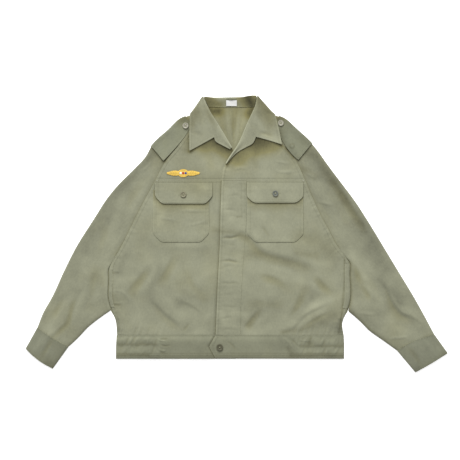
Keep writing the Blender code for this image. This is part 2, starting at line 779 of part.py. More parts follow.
def make_lapel(side):
    roll = smooth(LAPEL_ROLL[side])
    outer = smooth(LAPEL_OUTER[side])

    def lower(inside):
        return straight(outer[0], inside[0])

    def upper(inside):
        return straight(outer[-1], inside[-1])

    def height(xy, flat, v):
        near_roll = ease((flat - LAPEL_SLOPE_FROM) / (1 - LAPEL_SLOPE_FROM))
        level = LEAF_REST + (GAP + 2 * ROLL - LEAF_REST) * near_roll
        return FRONT_TOP + neck_lift(xy) + level

    columns, rows = GRID["lapel"]
    us = np.concatenate([even(columns), ROLL_TURNS])
    rolled("lapel_" + side, roll, outer, lower, upper, height, us, even(rows), -TURN[side])


BAND_SEAM_TOP = NECK_LIFT + 2 * WALL + GAP
BAND_ROLL_TOP = WALL + GAP + 2 * ROLL


def make_neck_band():
    seam = smooth(NECK_SEAM)
    inside = smooth(NECK_ROLL) - np.array([0, ROLL])
    spread = patch(seam, inside, np.stack([seam[0], inside[0]]), np.stack([seam[-1], inside[-1]]))

    def place(u, v):
        flat = np.clip(v, 0, 1)
        turn = np.clip(v - 1, 0, None) * 2 * math.pi
        xy = spread(u, flat)
        xy[:, 1] += ROLL * np.sin(turn)
        rise = (BAND_ROLL_TOP - BAND_SEAM_TOP) * ease(flat)
        z = BAND_SEAM_TOP + rise - ROLL * (1 - np.cos(turn))
        return raised(xy, z)

    columns, rows = GRID["neck_band"]
    sheet("neck_band", place, even(columns), np.concatenate([even(rows), ROLL_TURNS]), TWILL_FINISH)


def make_fall():
    lower = smooth(FALL_LOWER)
    upper = smooth(FALL_UPPER)
    ends = [np.stack([a, b]) for a, b in zip(lower[[0, -1]], upper[[0, -1]])]
    spread = patch(lower, upper, ends[0], ends[1])

    def place(u, v):
        xy = spread(u, v)
        return raised(xy, np.zeros(len(xy)))

    columns, rows = GRID["fall"]
    sheet("collar_fall", place, even(columns), even(rows), TWILL_FINISH, outwards=True)


# Shoulder straps


def make_strap(side):
    top, end = STRAP_ROWS[side]
    outline = rows_of(OUTER_LINE[side], top, end)
    out = normals(outline, -TURN[side])
    front = smooth(STRAP_FRONT[side])
    middle = SLEEVE_TOP / 2

    def place(s, t):
        edge = along(outline, s)
        away = np.stack([np.interp(s, np.linspace(0, 1, len(out)), out[:, k]) for k in range(2)], axis=1)
        arc = np.clip((1 - t) / (1 - STRAP_LEVEL), 0, 1) * math.pi / 2
        up = np.stack([np.cos(arc) / SLEEVE_ROUND, np.sin(arc) / middle], axis=1)
        up /= np.linalg.norm(up, axis=1)[:, None]
        inwards = SLEEVE_ROUND * (1 - np.cos(arc)) - STRAP_GAP * up[:, 0]
        wrapped = edge - away * inwards[:, None]
        level = np.clip(t / STRAP_LEVEL, 0, 1)[:, None]
        xy = wrapped * level + along(front, s) * (1 - level)
        lying = sleeve_top(xy, side) + STRAP_GAP
        curved = neck_lift(edge) + middle + middle * np.sin(arc) + STRAP_GAP * up[:, 1]
        seat = ease((level[:, 0] - STRAP_SEAT) / (1 - STRAP_SEAT))
        return raised(xy, lying * (1 - seat) + curved * seat)

    columns, rows = GRID["strap"]
    wrap = STRAP_LEVEL + (1 - STRAP_LEVEL) * even(3)[1:]
    ts = np.concatenate([STRAP_LEVEL * even(rows), wrap])
    sheet("strap_" + side, place, even(columns), ts, TWILL_DARK_FINISH, outwards=True)


# Pockets, flaps and welts


def cut_corner_outline(cut):
    """Left, bottom and right edges of a pocket with its lower corners cut off."""
    low = cut.bottom - cut.corner_y
    bottom = plan([
        (cut.left, low), (cut.left + cut.corner_x, cut.bottom),
        (cut.right - cut.corner_x, cut.bottom), (cut.right, low),
    ])
    top = plan([(cut.left, cut.top), (cut.right, cut.top)])
    return patch(bottom, top, np.stack([bottom[0], top[0]]), np.stack([bottom[-1], top[-1]])), bottom


def make_pocket(side):
    spread, bottom = cut_corner_outline(POCKETS[side])

    def place(u, v):
        xy = spread(u, v)
        return raised(xy, front_top(xy, side) + GAP + POCKET_LIFT)

    columns, rows = GRID["pocket"]
    sheet("pocket_" + side, place, with_corners(bottom, columns), even(rows), TWILL_FINISH,
          wall=TRIM_WALL, outwards=True)


def flap_underside(xy, side):
    """Underside of a flap: on the front at its seam, then over the pocket, with a raised lip."""
    cut = FLAPS[side]
    below_seam = pixels(xy)[:, 1] - cut.top
    over_pocket = (POCKET_LIFT + TRIM_WALL + GAP) * ease(below_seam / FLAP_RAMP)
    lip = FLAP_LIP * ease(below_seam / (cut.bottom - cut.top)) ** 2
    return front_top(xy, side) + GAP + over_pocket + lip


def make_flap(side):
    spread, bottom = cut_corner_outline(FLAPS[side])

    def place(u, v):
        xy = spread(u, v)
        return raised(xy, flap_underside(xy, side))

    columns, rows = GRID["flap"]
    sheet("flap_" + side, place, with_corners(bottom, columns), even(rows), TWILL_FINISH,
          wall=TRIM_WALL, outwards=True)


def make_welt(side):
    top, low, width = WELTS[side]
    edge = moved(rows_of(SIDE_LINE[side], low, top), TURN[side] * SIDE_GAP)
    inner = moved(edge, TURN[side] * width)
    left, right = (edge, inner) if side == "left" else (inner, edge)
    spread = patch(straight(left[0], right[0]), straight(left[-1], right[-1]), left, right)

    def place(u, v):
        xy = spread(u, v)
        return raised(xy, front_top(xy, side) + WELT_LIFT)

    columns, rows = GRID["welt"]
    sheet("welt_" + side, place, even(columns), even(rows), TWILL_FINISH, wall=TRIM_WALL, outwards=True)


# Waistband


def gathers(xy, side):
    """Ripples of the elastic, tallest between the band's edges."""
    x, y = pixels(xy).T
    start, end = ELASTIC[side]
    top, low = BAND_ROWS
    across, down = GATHER_FADE
    strength = ease((x - start) / across) * ease((end - x) / across)
    strength *= ease((y - top) / down) * ease((low - y) / down)
    return GATHER_HEIGHT * np.sin(2 * math.pi * (x - start) / GATHER_PITCH) * strength


def gathered_columns(side, left, right):
    """Fractions across a band, four to each gather in its elastic and wider elsewhere."""
    start, end = ELASTIC[side]
    start = max(start, left)
    end = min(end, right)
    gathered = np.arange(start, end, GATHER_PITCH / STEPS_A_GATHER)
    plain = (end, right) if side == "left" else (left, start)
    count = int(round((plain[1] - plain[0]) / GRID["band"][0]))
    edge = left + BAND_EDGE_COLUMNS if side == "left" else right - BAND_EDGE_COLUMNS
    columns = np.unique(np.concatenate([[left, right], edge, gathered, np.linspace(*plain, count)]))
    columns = columns[np.concatenate([[True], np.diff(columns) > LEAST_COLUMN])]
    columns[-1] = right
    return (columns - left) / (right - left)


def band_top(xy, side):
    reach = TURN[side] * (xy[:, 0] - plan(BAND_SIDE[side])[1, 0])
    height = BAND_EDGE_TOP + (BAND_TOP - BAND_EDGE_TOP) * rounding(reach / SIDE_ROUND)
    return height + gathers(xy, side)


def make_waistband():
    top, low = BAND_ROWS
    sides = {side: smooth(BAND_SIDE[side]) for side in BAND_SIDE}
    spread_back = patch(np.stack([sides["left"][0], sides["right"][0]]),
                        np.stack([sides["left"][-1], sides["right"][-1]]),
                        sides["left"], sides["right"])

    def place_back(u, v):
        xy = spread_back(u, v)
        return raised(xy, np.zeros(len(xy)))

    columns, rows = GRID["band_back"]
    sheet("waistband_back", place_back, even(columns), even(rows), TWILL_DARK_FINISH, BAND_WALL, True)

    lap = plan([(BAND_LAP, low), (BAND_LAP, top)])
    spread_left = patch(np.stack([sides["left"][0], lap[0]]), np.stack([sides["left"][-1], lap[1]]),
                        sides["left"], lap)

    def place_left(u, v):
        xy = spread_left(u, v)
        start, end = BAND_LAP_RAMP
        under = ease((pixels(xy)[:, 0] - start) / (end - start))
        return raised(xy, band_top(xy, "left") * (1 - under) + UNDERLAP_BAND_TOP * under)

    rows = GRID["band"][1]
    left_us = gathered_columns("left", BAND_SIDE["left"][1][0], BAND_LAP)
    sheet("waistband_left", place_left, left_us, even(rows), TWILL_DARK_FINISH, BAND_WALL)

    tab = plan(TAB)
    spread_right = patch(np.stack([tab[0], sides["right"][0]]), np.stack([tab[-1], sides["right"][-1]]),
                         tab, sides["right"])

    def place_right(u, v):
        xy = spread_right(u, v)
        return raised(xy, band_top(xy, "right"))

    right_us = gathered_columns("right", TAB[2][0], BAND_SIDE["right"][1][0])
    sheet("waistband_right", place_right, right_us, with_corners(tab, rows), TWILL_DARK_FINISH,
          BAND_WALL)


# Buttons and small pieces


def make_button(name, pixel, seat, size, finish):
    """A dished button: its half outline turned about the middle."""
    radius, thick, rim = size
    outline = [
        (0, 0), (radius * 0.85, 0), (radius, thick * 0.45), (radius - rim * 0.4, thick),
        (radius - rim, thick * 0.9), (radius - rim * 1.5, thick * 0.6), (0, thick * 0.6),
    ]
    mesh = bpy.data.meshes.new(name)
    mesh.from_pydata([(r, 0, z) for r, z in outline[::-1]],
                     [(i, i + 1) for i in range(len(outline) - 1)], [])
    mesh.materials.append(finish)
    button = bpy.data.objects.new(name, mesh)
    SHIRT.objects.link(button)
    x, y = plan(pixel)[0]
    button.location = (x, y, seat)
    screw = button.modifiers.new("turned", "SCREW")
    screw.steps = BUTTON_STEPS
    screw.render_steps = BUTTON_STEPS
    screw.use_merge_vertices = True
    screw.merge_threshold = 0.00002
    screw.use_smooth_shade = True


def highest(pixel, radius, top):
    """Highest point of a surface under a round piece."""
    turn = np.linspace(0, 2 * math.pi, 24, endpoint=False)
    ring = np.column_stack([np.cos(turn), np.sin(turn)]) * radius
    spots = plan(pixel) + np.concatenate([ring, ring / 2, [[0, 0]]])
    return float(top(spots).max())


def make_buttons():
    radius = SMALL_BUTTON[0]
    for side, pixel in FLAP_BUTTONS.items():
        seat = highest(pixel, radius * 0.8, lambda xy: flap_underside(xy, side)) + TRIM_WALL + GAP
        make_button("flap_button_" + side, pixel, seat, SMALL_BUTTON, SHELL_FINISH)
    for side, pixel in STRAP_BUTTONS.items():
        seat = highest(pixel, radius * 0.5, lambda xy: sleeve_top(xy, side)) + STRAP_GAP + WALL + GAP
        make_button("strap_button_" + side, pixel, seat, SMALL_BUTTON, SHELL_FINISH)
    make_button("waist_button", WAIST_BUTTON_AT, BAND_TOP + GAP, WAIST_BUTTON, OLIVE_FINISH)


def make_patch():
    """Stitched chest patch: two long leaves either side of a round boss."""
    half_length, least = PATCH_HALF

    def place(u, v):
        x = (2 * u - 1) * half_length
        leaf = PATCH_LEAF * np.sin(math.pi * np.clip(np.abs(x) / half_length, 0, 1)) ** 0.8
        boss = np.sqrt(np.clip(PATCH_BOSS ** 2 - x ** 2, 0, None))
        half = np.maximum(np.maximum(leaf, boss), least)
        xy = plan(np.column_stack([PATCH_AT[0] + x, PATCH_AT[1] + (1 - 2 * v) * half]))
        return raised(xy, front_top(xy, "left") + GAP)

    columns, rows = GRID["patch"]
    sheet("chest_patch", place, even(columns), even(rows), GOLD_FINISH, wall=TRIM_WALL, outwards=True)


def band_height(row):
    """Top of the neck band at a pixel row."""
    low = NECK_SEAM[1][1]
    high = NECK_ROLL[1][1] + ROLL / PIXEL
    return BAND_SEAM_TOP + (BAND_ROLL_TOP - BAND_SEAM_TOP) * ease((low - row) / (low - high))


def make_label():
    left, right, low, high = LABEL

    def place(u, v):
        row = low + (high - low) * v
        xy = plan(np.column_stack([left + (right - left) * u, row]))
        return raised(xy, band_height(row) + GAP)

    columns, rows = GRID["label"]
    sheet("neck_label", place, even(columns), even(rows), WHITE_FINISH, wall=TRIM_WALL, outwards=True)


def make_loop():
    left, right, row = LOOP

    def place(u, v):
        x = left + (right - left) * u
        y = row - LOOP_WIDTH * v
        bow = LOOP_BOW * np.sin(math.pi * u)
        return raised(plan(np.column_stack([x, y])), band_height(y) + GAP + bow)

    columns, rows = GRID["loop"]
    sheet("hanging_loop", place, even(columns), even(rows), TWILL_FINISH, wall=TRIM_WALL, outwards=True)


SHIRT = fresh_collections()
TWILL_FINISH = finish_of("twill", TWILL, 0.85)
TWILL_DARK_FINISH = finish_of("twill_folded", TWILL_DARK, 0.85)
SHELL_FINISH = finish_of("shell_button", SHELL, 0.3)
OLIVE_FINISH = finish_of("olive_button", OLIVE, 0.45)
GOLD_FINISH = finish_of("gold_thread", GOLD, 0.6)
WHITE_FINISH = finish_of("white_label", WHITE, 0.7)

make_back()
make_lower_fronts()
make_fly()
make_yokes()
for each_side in ("left", "right"):
    make_sleeve(each_side)
    make_cuff(each_side)
    make_leaf(each_side)
    make_lapel(each_side)
    make_strap(each_side)
    make_pocket(each_side)
    make_flap(each_side)
    make_welt(each_side)
make_neck_band()
make_fall()
make_waistband()
make_buttons()
make_patch()
make_label()
make_loop()
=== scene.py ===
import math
from collections import namedtuple

import bmesh
import bpy
import numpy as np
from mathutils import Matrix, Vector, noise
from mathutils.bvhtree import BVHTree


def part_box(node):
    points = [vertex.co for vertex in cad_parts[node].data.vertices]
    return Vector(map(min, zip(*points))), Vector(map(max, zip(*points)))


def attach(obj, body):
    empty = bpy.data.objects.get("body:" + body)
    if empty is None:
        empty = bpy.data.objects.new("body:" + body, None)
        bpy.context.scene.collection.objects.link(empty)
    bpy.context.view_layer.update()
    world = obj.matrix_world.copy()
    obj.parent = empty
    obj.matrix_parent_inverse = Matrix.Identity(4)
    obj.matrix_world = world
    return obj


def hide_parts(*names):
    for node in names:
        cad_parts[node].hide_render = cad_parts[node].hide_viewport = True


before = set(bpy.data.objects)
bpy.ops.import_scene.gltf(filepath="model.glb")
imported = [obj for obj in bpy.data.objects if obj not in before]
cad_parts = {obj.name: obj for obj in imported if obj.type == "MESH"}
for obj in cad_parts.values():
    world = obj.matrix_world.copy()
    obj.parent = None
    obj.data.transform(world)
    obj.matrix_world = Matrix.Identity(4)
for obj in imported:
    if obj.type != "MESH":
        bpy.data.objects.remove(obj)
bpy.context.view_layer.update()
bpy.ops.object.select_all(action="DESELECT")

# Scale of the outlines, as in the part
PIXEL = 0.0024
MIDDLE = (236.7, 234.45)
MM = 0.001

# Cloth walls and gaps
WALL = 0.9 * MM
BAND_WALL = 1.3 * MM
TRIM_WALL = 0.8 * MM
GAP = 0.4 * MM
SEWN_GAP = 0.15 * MM
PART_WALL = 1.2 * MM

# Heights of the layers above the surface
FRONT_TOP = 5.2 * MM
UNDERLAP_TOP = 3.6 * MM
SIDE_EDGE_TOP = 2.0 * MM
SLEEVE_TOP = 4.6 * MM
SLEEVE_MIDDLE = SLEEVE_TOP / 2
SLEEVE_SEAM_TOP = 3.3 * MM
CUFF_TOP = 5.8 * MM
BAND_TOP = 5.6 * MM
BAND_EDGE_TOP = 2.8 * MM
UNDERLAP_BAND_TOP = 3.6 * MM
FLY_RISE = 0.4 * MM
NECK_LIFT = 1.8 * MM
NECK_LIFT_ROWS = (141.0, 124.0)

# Rounded edges and slopes
SLEEVE_ROUND = 7.0 * MM
SIDE_ROUND = 8.0 * MM
SEAM_SLOPE = 14.0 * MM
CREASE_CALM = 20.0 * MM

# Steps between two points of a line, and how much wider and higher folds are than their tables say
LINE_STEPS = 10
FOLD_STEPS = 6
FOLD_SPREAD = 1.4
FOLD_LIFT = 1.2
FOLD_FADE = 0.42
# Hollows of loose cloth: height in millimetres, width in metres and what is added to the seed
SLACK = ((1.3, 0.12, 0), (1.0, 0.05, 5), (0.25, 0.018, 9))
# Where a grid is closer near an edge, and across the folded edge of a sleeve as shares of its width
CLOSE_STEPS = np.array([0, 0.7, 1.3, 1.9, 2.6, 3.4, 4.4, 5.4, 6.1, 6.8, 7.6, 9.0]) * MM
SLEEVE_EDGE_STEPS = np.array([0, 0.0015, 0.006, 0.013, 0.023, 0.036, 0.052, 0.07])

# Sewing. A row's distance is from the edge that it runs along
ON_LINE = (0.0,)
ONE_ROW = (1.8 * MM,)
TWO_ROWS = (1.8 * MM, 6.6 * MM)
WIDE_ROW = (5.6 * MM,)
HEM_ROWS = (7.4 * MM, 12.9 * MM)
STITCH_WIDTH = 0.7 * MM
STITCH_DEPTH = 0.28 * MM
FELL_RISE = 0.3 * MM
FELL_EDGE = 1.6 * MM
EDGE_ROLL = 0.45 * MM
EDGE_ROLL_WIDTH = 1.6 * MM
PUCKER_REACH = 9.0 * MM
STITCH_STEP = 3.2 * MM
STITCH_LENGTH = 2.7 * MM
THREAD_RADIUS = 0.2 * MM
HOLE_STEP = 0.6 * MM
HOLE_HALF_WIDTH = 0.9 * MM
HOLE_STITCH = 1.5 * MM
NEEDLE_FROM = 0.05
STEEPEST = 0.35

# What the finishes show of seams, of worn edges as wear and painted highlight, and of painted light and shade
STITCH_SHADE = 1.1 * MM
WORN_LIT_EDGE = 1.8 * MM
SWELL_SPAN = 2.4 * MM
DEEPEST = 2.0
FOLD_SHADE = 0.45
EDGE_SHADE = 0.6

# Collar leaves and lapels
ROLL = 3.0 * MM
LEAF_REST = 3.2 * MM
LEAF_EDGE_RISE = 1.6 * MM
POINT_SPAN = 24.0 * MM
LEAF_SLOPE_FROM = 0.45
LAPEL_SLOPE_FROM = 0.2
SHOULDER_FOLD = 0.12
FOLD_DEPTH = 0.16
GORGE_GAP = 0.05 * MM
BAND_SEAM_TOP = NECK_LIFT + 2 * PART_WALL + GAP
BAND_ROLL_TOP = PART_WALL + GAP + 2 * ROLL
ROLL_TURNS = 1 + np.linspace(0.03, 0.5, 16)

# Lines of the cut, as pixels of the photograph
RAGLAN = {
    "left": [(206, 102), (197, 118), (188, 133), (177.5, 147.5), (167, 160), (155, 182),
             (140, 210), (125, 240), (112, 262)],
    "right": [(255, 101), (268, 122), (282.4, 145), (293.2, 157), (303.4, 177.5), (313, 200),
              (320, 215), (328, 230), (335, 243), (345.5, 256.5)],
}
SIDE = {
    "left": [(112, 262), (109.6, 267), (109.2, 280), (109.2, 301), (112.0, 310.5), (115.6, 321),
             (116.9, 335)],
    "right": [(345.5, 256.5), (349.1, 262.5), (349.5, 275), (349.2, 303), (345.9, 313),
              (342.4, 323), (343.7, 335)],
}
OUTER = {
    "left": [(206, 102), (198, 110.5), (190.5, 115), (181.8, 118), (168.6, 129.8), (151.4, 146.2),
             (145.5, 156.5), (134, 169), (117.5, 185.5), (108, 197), (95, 217), (75, 249), (63, 273),
             (52, 297), (43, 313), (37.2, 327.6)],
    "right": [(255, 101), (265, 110.5), (274.6, 115.2), (282, 117.4), (297.4, 130), (311.4, 143),
              (318, 151), (328, 165), (340, 181), (355, 201), (370.5, 225), (385, 249), (399.5, 273),
              (414, 297), (423, 313), (434.5, 334.5)],
}
ARMPIT_EDGE = {
    "left": [(112, 262), (108.4, 269), (108.1, 280), (108.1, 300), (111, 310.2)],
    "right": [(345.5, 256.5), (350.2, 262.5), (350.6, 275), (350.4, 303), (348.4, 311.2)],
}
UNDERARM = {
    "left": [(111, 310.2), (98.5, 319), (87.9, 327.5), (78, 338), (68.4, 346.9)],
    "right": [(348.4, 311.2), (359.7, 321), (369.2, 330.6), (383, 340.5), (397.3, 350.8)],
}
CUFF_SEAM = {
    "left": [(68.4, 346.9), (54.1, 339.4), (37.2, 327.6)],
    "right": [(397.3, 350.8), (414, 341.2), (434.5, 334.5)],
}
CUFF_END = {
    "left": [(52.6, 368.9), (39.5, 361.3), (31.9, 355.1), (25.4, 348.6)],
    "right": [(415.5, 372.5), (431, 363.8), (448, 353.2)],
}
CUFF_SHIFT = {"left": (-0.06, 0.06), "right": (0.06, 0.07)}
CUFF_GRAIN = {"left": -35, "right": 32}
SLEEVE_GRAIN = {"left": -32, "right": 32}
RIDGE_ROWS = {"left": (120, 255), "right": (120, 247)}
NECK_EDGE = {
    "left": [(205.8, 103), (209.6, 112), (217.6, 125.6), (224, 135.2), (231.6, 148), (240, 163)],
    "right": [(226.2, 164), (228.8, 159.2), (238.4, 145), (248.2, 123.2), (251.5, 116.4),
              (254.4, 107.5), (255, 102)],
}
FLY_EDGE = [(215.7, 335), (217.6, 286.7), (219.9, 240), (221, 200), (222.4, 175),
            (223.6, 168.2), (226.2, 164)]
FLY_SEAM = [(240.3, 335), (240.6, 305), (243, 262), (246.2, 216), (246.3, 178)]
BACK_NECK_ROW = 106.0
YOKE_SEAM_ROW = 180.5
HEM_ROW = 335.0
HEM_CALM = 8.0
HEM_GATHER = 0.55 * MM
HEM_GATHER_ROWS = (318, 333)
HEM_GATHER_FADE = (5, 14)
SEAM_HALF_GAP = 0.05
UNDERLAP = (240.0, 238.5)
UNDERLAP_RAMP = (3.4, 0.5)
FLY_ROWS = [[(241.4, 183.5), (241.6, 216.5)], [(245.0, 183.5), (245.1, 214)]]
FLY_RISE_SPAN = 6.0
FLY_RISE_ROWS = (166.0, 174.0)
LAP = 0.45
ARMPIT_ROWS = (232.0, 252.0)
SIDE_GAP = 0.2
BACK_INSET = (2.25, 0.7)
BACK_BEYOND = 1.5
BACK_BEYOND_ROWS = ((248, 256), (318, 310))
BACK_LEVEL_ROWS = (160, 140)
STRIP_LINE = {"left": [(112.3, 266), (112.4, 285), (112.5, 304)],
              "right": [(344.6, 258), (344.2, 285), (342.2, 310), (338.8, 333)]}

LEAF_ROLL = {
    "left": [(218.6, 124.6), (210.2, 111.4), (203.4, 96.8)],
    "right": [(247.5, 122.2), (250.7, 115.6), (254.9, 106), (257.0, 96.1)],
}
LEAF_OUTER = {
    "left": [(189.5, 151), (189.4, 132), (190, 113.8), (202.0, 96.6)],
    "right": [(282, 144.6), (278.8, 129), (275.2, 114.6), (259.0, 96.9)],
}
LEAF_LOWER = {
    "left": [(189.5, 151), (202, 144.2), (214.2, 137.4), (218.6, 124.6)],
    "right": [(282, 144.6), (269, 140.5), (256, 137), (247.5, 122.2)],
}
LAPEL_ROLL = {
    "left": [(232.2, 147.2), (224.8, 134.8), (218.6, 124.6)],
    "right": [(225.6, 163), (228, 158.8), (237.6, 144.4), (247.5, 122.2)],
}
LAPEL_OUTER = {
    "left": [(230.2, 149.4), (222, 145.2), (215.2, 140.8), (214.2, 137.4)],
    "right": [(226.6, 163.4), (237.6, 152.2), (246, 147.4), (252.9, 143.3), (256, 137)],
}
NECK_SEAM = [(208.8, 106.8), (229, 107.4), (254.6, 106.8)]
NECK_ROLL = [(204.2, 96.4), (216, 97.6), (229, 97.9), (242, 96.9), (251.5, 95.4), (256.4, 95.4)]
FALL_LOWER = [(191.6, 114.4), (206, 119.4), (229, 121), (256, 119.6), (273.6, 115)]
FALL_UPPER = [(203.6, 97.4), (229, 97), (256.2, 96.4)]
STRAP_FRONT = {
    "left": [(193, 123), (186, 134.4), (167.4, 156.4), (163.4, 160.6)],
    "right": [(274.6, 122), (283.4, 142), (294.2, 156.2), (298.3, 159.8)],
}
STRAP_ROWS = {"left": (116.6, 147.0), "right": (116.4, 143.8)}
STRAP_GAP = 0.8 * MM
STRAP_LEVEL = 0.72
STRAP_GRAIN = {"left": -40, "right": 42}
STUD = (292.1, 146.1)
STUD_RADIUS = 2.2
STUD_RISE = 0.7 * MM

Pocket = namedtuple("Pocket", "left right top bottom corner_x corner_y")
POCKETS = {
    "left": Pocket(153.4, 208.6, 190.0, 242.0, 8.0, 8.4),
    "right": Pocket(247.6, 303.0, 190.0, 242.0, 7.8, 7.6),
}
FLAPS = {
    "left": Pocket(155.5, 212.0, 182.6, 203.5, 6.4, 7.0),
    "right": Pocket(247.2, 302.9, 182.4, 202.6, 6.6, 5.6),
}
BUTTONHOLES = {"left": [(178.6, 195.2), (188.4, 194.6)], "right": [(270.6, 193.8), (280.4, 193.4)]}
FLAP_RAMP = 7.2
CORNER_ROUND = 3.0
CORNER_ABOVE = 4.0
FLAP_LIP = 1.2 * MM
WELTS = {"left": (266.0, 307.0, 3.3), "right": (264.0, 308.0, 4.6)}
WELT_LIFT = 0.6 * MM
WELT_END_LIFT = 0.3 * MM

BAND_ROWS = (335.2, 358.9)
BAND_SIDE = {"left": [(115.8, 358.9), (115.9, 346), (116.6, 335.2)],
             "right": [(344.1, 358.9), (344.3, 346), (343.8, 335.2)]}
TAB = [(215.6, 358.6), (212, 352), (209.2, 346.6), (212, 341.6), (215.5, 335.2)]
BAND_LAP = 236.0
BAND_LAP_RAMP = 3.0
ELASTIC = {"left": (117.0, 158.0), "right": (300.0, 344.0)}
STITCHED_ROW = {"left": 344.6, "right": 346.2}
BAND_GATHER = 1.5 * MM
GATHER_FADE = (6, 12)

PATCH_AT = (183.2, 173.2)
PATCH_HALF = (16.4, 1.0)
PATCH_BOSS = (5.4, 3.9)
BEAD_STEP = 2.5
BEAD_RADIUS = 1.15
BEAD_HEIGHT = 0.7 * MM
PATCH_LEAF = 2.5
PATCH_CROWN = 0.5 * MM
VEIN = (5.4, 15.4)
SIDE_VEINS = (7.0, 9.2, 11.4)
SIDE_VEIN = (1.6, 2.2)
BOSS_RING = (4.3, 2.9)
LABEL = (226.2, 236.8, 106.0, 100.4)
LOOP = (226.8, 236.2, 99.9)
LOOP_WIDTH = 1.5
LOOP_BOW = 2.0 * MM

# Buttons, as shares of their radius. The dish and the drill's rise are shares of their thickness, and the
# thread's span is in distances from the middle to a hole
BUTTON_EDGE = 0.09
BUTTON_RIM = 0.24
BUTTON_SLOPE = 0.12
BUTTON_DISH = 0.35
BUTTON_HOLE = 0.25
BUTTON_DRILL = 0.12
BUTTON_DRILL_RISE = 0.3
BUTTON_THREAD = 0.075
BUTTON_THREAD_RISE = 0.07
BUTTON_THREAD_SPAN = 2.9

# Camera and light
VIEW_CENTRE = (230, 230)
LENS = 85
SENSOR = 36
FRAME_WIDTH = 460 * PIXEL
WINDOW_AT = (-0.5, 3.0, 2.3)
WINDOW_SIZE = 1.9
WINDOW_POWER = 185
STUDIO_LIGHT = 0.58
FLOOR_SIZE = 8
FLOOR_DEPTH = 0.2 * MM
FLOOR_TONE = 0.94
FLOOR_GLOW = 0.5

# A seam: its edge, its rows of stitches, how far it puckers in millimetres and how far its edge rolls down
Sewn = namedtuple("Sewn", "line rows pucker roll", defaults=(1.0,))
# Painted light and shade: darker beside an edge that lies over the cloth or where it hangs slack, paler where
# light would catch it. Reach in metres, strength up to DEEPEST, or below 0 for painted light, and how brown
# the painted shade is
Shade = namedtuple("Shade", "line reach amount warmth", defaults=(0.2,))
# What a piece of cloth shows: finish, seams, the height of its folds for their painted light and shade, its
# painted shades and its grain in degrees
Look = namedtuple("Look", "finish sewn swell shades grain", defaults=((), None, (), 0.0))

# The cut of what shows of each cloth piece: width and length in metres, and area in square metres.
# Sleeves and cuffs are given all round.
Cut = namedtuple("Cut", "width length area")

# Folds: height in millimetres, how far the slope runs to the left and right of the line
# in millimetres, as one goes along it, and the line in pixels. A trough has a height below 0
Fold = namedtuple("Fold", "height left right points")
BODY_FOLDS = [
    # Right front
    Fold(1.0, 20, 12, [(230, 232), (246, 233.5), (255.5, 240), (262, 248), (277, 254), (296, 259.5),
         (324, 268)]),
    Fold(-1.3, 12, 20, [(228, 236), (246, 238.2), (254, 245.5), (261, 253), (275, 258.5), (294, 263.5),
         (322, 273)]),
    Fold(-0.8, 10, 12, [(230, 236), (241, 236), (250, 241), (259, 250.5), (272, 257)]),
    Fold(0.9, 12, 14, [(262, 268), (284, 272), (306, 283)]),
    Fold(-1.5, 9, 15, [(254, 274), (264, 277.5), (278, 282), (290, 294)]),
    Fold(2.2, 16, 8, [(277, 331), (291, 326.5), (304, 313.5), (320, 305), (338, 297)]),
    Fold(-1.0, 5, 8, [(298, 333), (309, 324), (321, 317), (335, 311)]),
    Fold(-1.6, 10, 12, [(287, 326), (294, 312), (299.5, 302), (305, 284)]),
    Fold(-1.5, 8, 11, [(313, 273), (319, 282), (326, 289), (334, 297)]),
    Fold(1.1, 9, 9, [(309, 279), (315, 289), (322, 297)]),
    Fold(-1.7, 7, 14, [(241, 334), (247.5, 326), (253.5, 318.5), (264, 306)]),
    Fold(0.9, 12, 12, [(252, 332), (262, 320), (272, 304)]),
    # Left front
    Fold(-1.7, 9, 15, [(124, 300), (132, 290), (141, 279), (152, 264)]),
    Fold(1.3, 12, 12, [(140, 298), (150, 282), (160, 262)]),
    Fold(-1.6, 9, 14, [(155, 288), (163, 279), (169, 268), (178, 252)]),
    Fold(2.1, 22, 7, [(149, 294), (158, 303), (168, 312.5), (187, 328)]),
    Fold(-1.2, 5, 16, [(148, 299), (156, 307.5), (164, 316), (182, 331)]),
    Fold(1.4, 15, 6, [(170, 295), (186, 301.5), (200, 309.5), (208, 324)]),
    Fold(0.9, 8, 4, [(117, 288), (125, 294.5), (133, 304)]),
    Fold(-0.9, 3, 4, [(181, 333), (186, 327.5), (191, 322)]),
    Fold(0.8, 9, 10, [(152, 247), (186, 246.5), (220, 246)]),
    Fold(-0.8, 9, 10, [(184, 266), (196, 290), (214, 300)]),
    # Side pocket tacks
    Fold(0.7, 3.2, 2.6, [(111, 271), (116, 271.5), (122, 271)]),
    Fold(0.6, 3.2, 2.6, [(111, 290.5), (115, 290.5), (121, 291)]),
    Fold(0.9, 3.4, 2.6, [(111, 303), (116, 303.5), (124, 303)]),
    Fold(0.6, 3.0, 2.6, [(340, 259.5), (345, 259), (349, 258.5)]),
    Fold(0.5, 3.0, 2.6, [(330, 331), (336, 331), (343, 330.5)]),
    # Pockets and chest
    Fold(-0.9, 3.5, 5, [(261, 224), (266, 232), (271, 240)]),
    Fold(0.7, 5, 3, [(176, 211.2), (192, 211), (211, 211.6)]),
    Fold(0.5, 4, 3, [(158, 218), (167, 219), (178, 220.5)]),
    Fold(0.5, 4, 3, [(184, 226), (196, 224), (208, 220)]),
    Fold(0.7, 5, 3, [(272, 161), (282, 162.5), (293, 164)]),
    Fold(0.7, 5, 3, [(272, 170.5), (284, 172.5), (298, 171)]),
    Fold(0.6, 6, 4, [(232, 170), (240, 168), (250, 169)]),
    Fold(-0.9, 12, 14, [(204, 148), (210, 160), (212, 176)]),
    Fold(-0.9, 10, 10, [(262, 144), (256, 156), (258, 176)]),
]
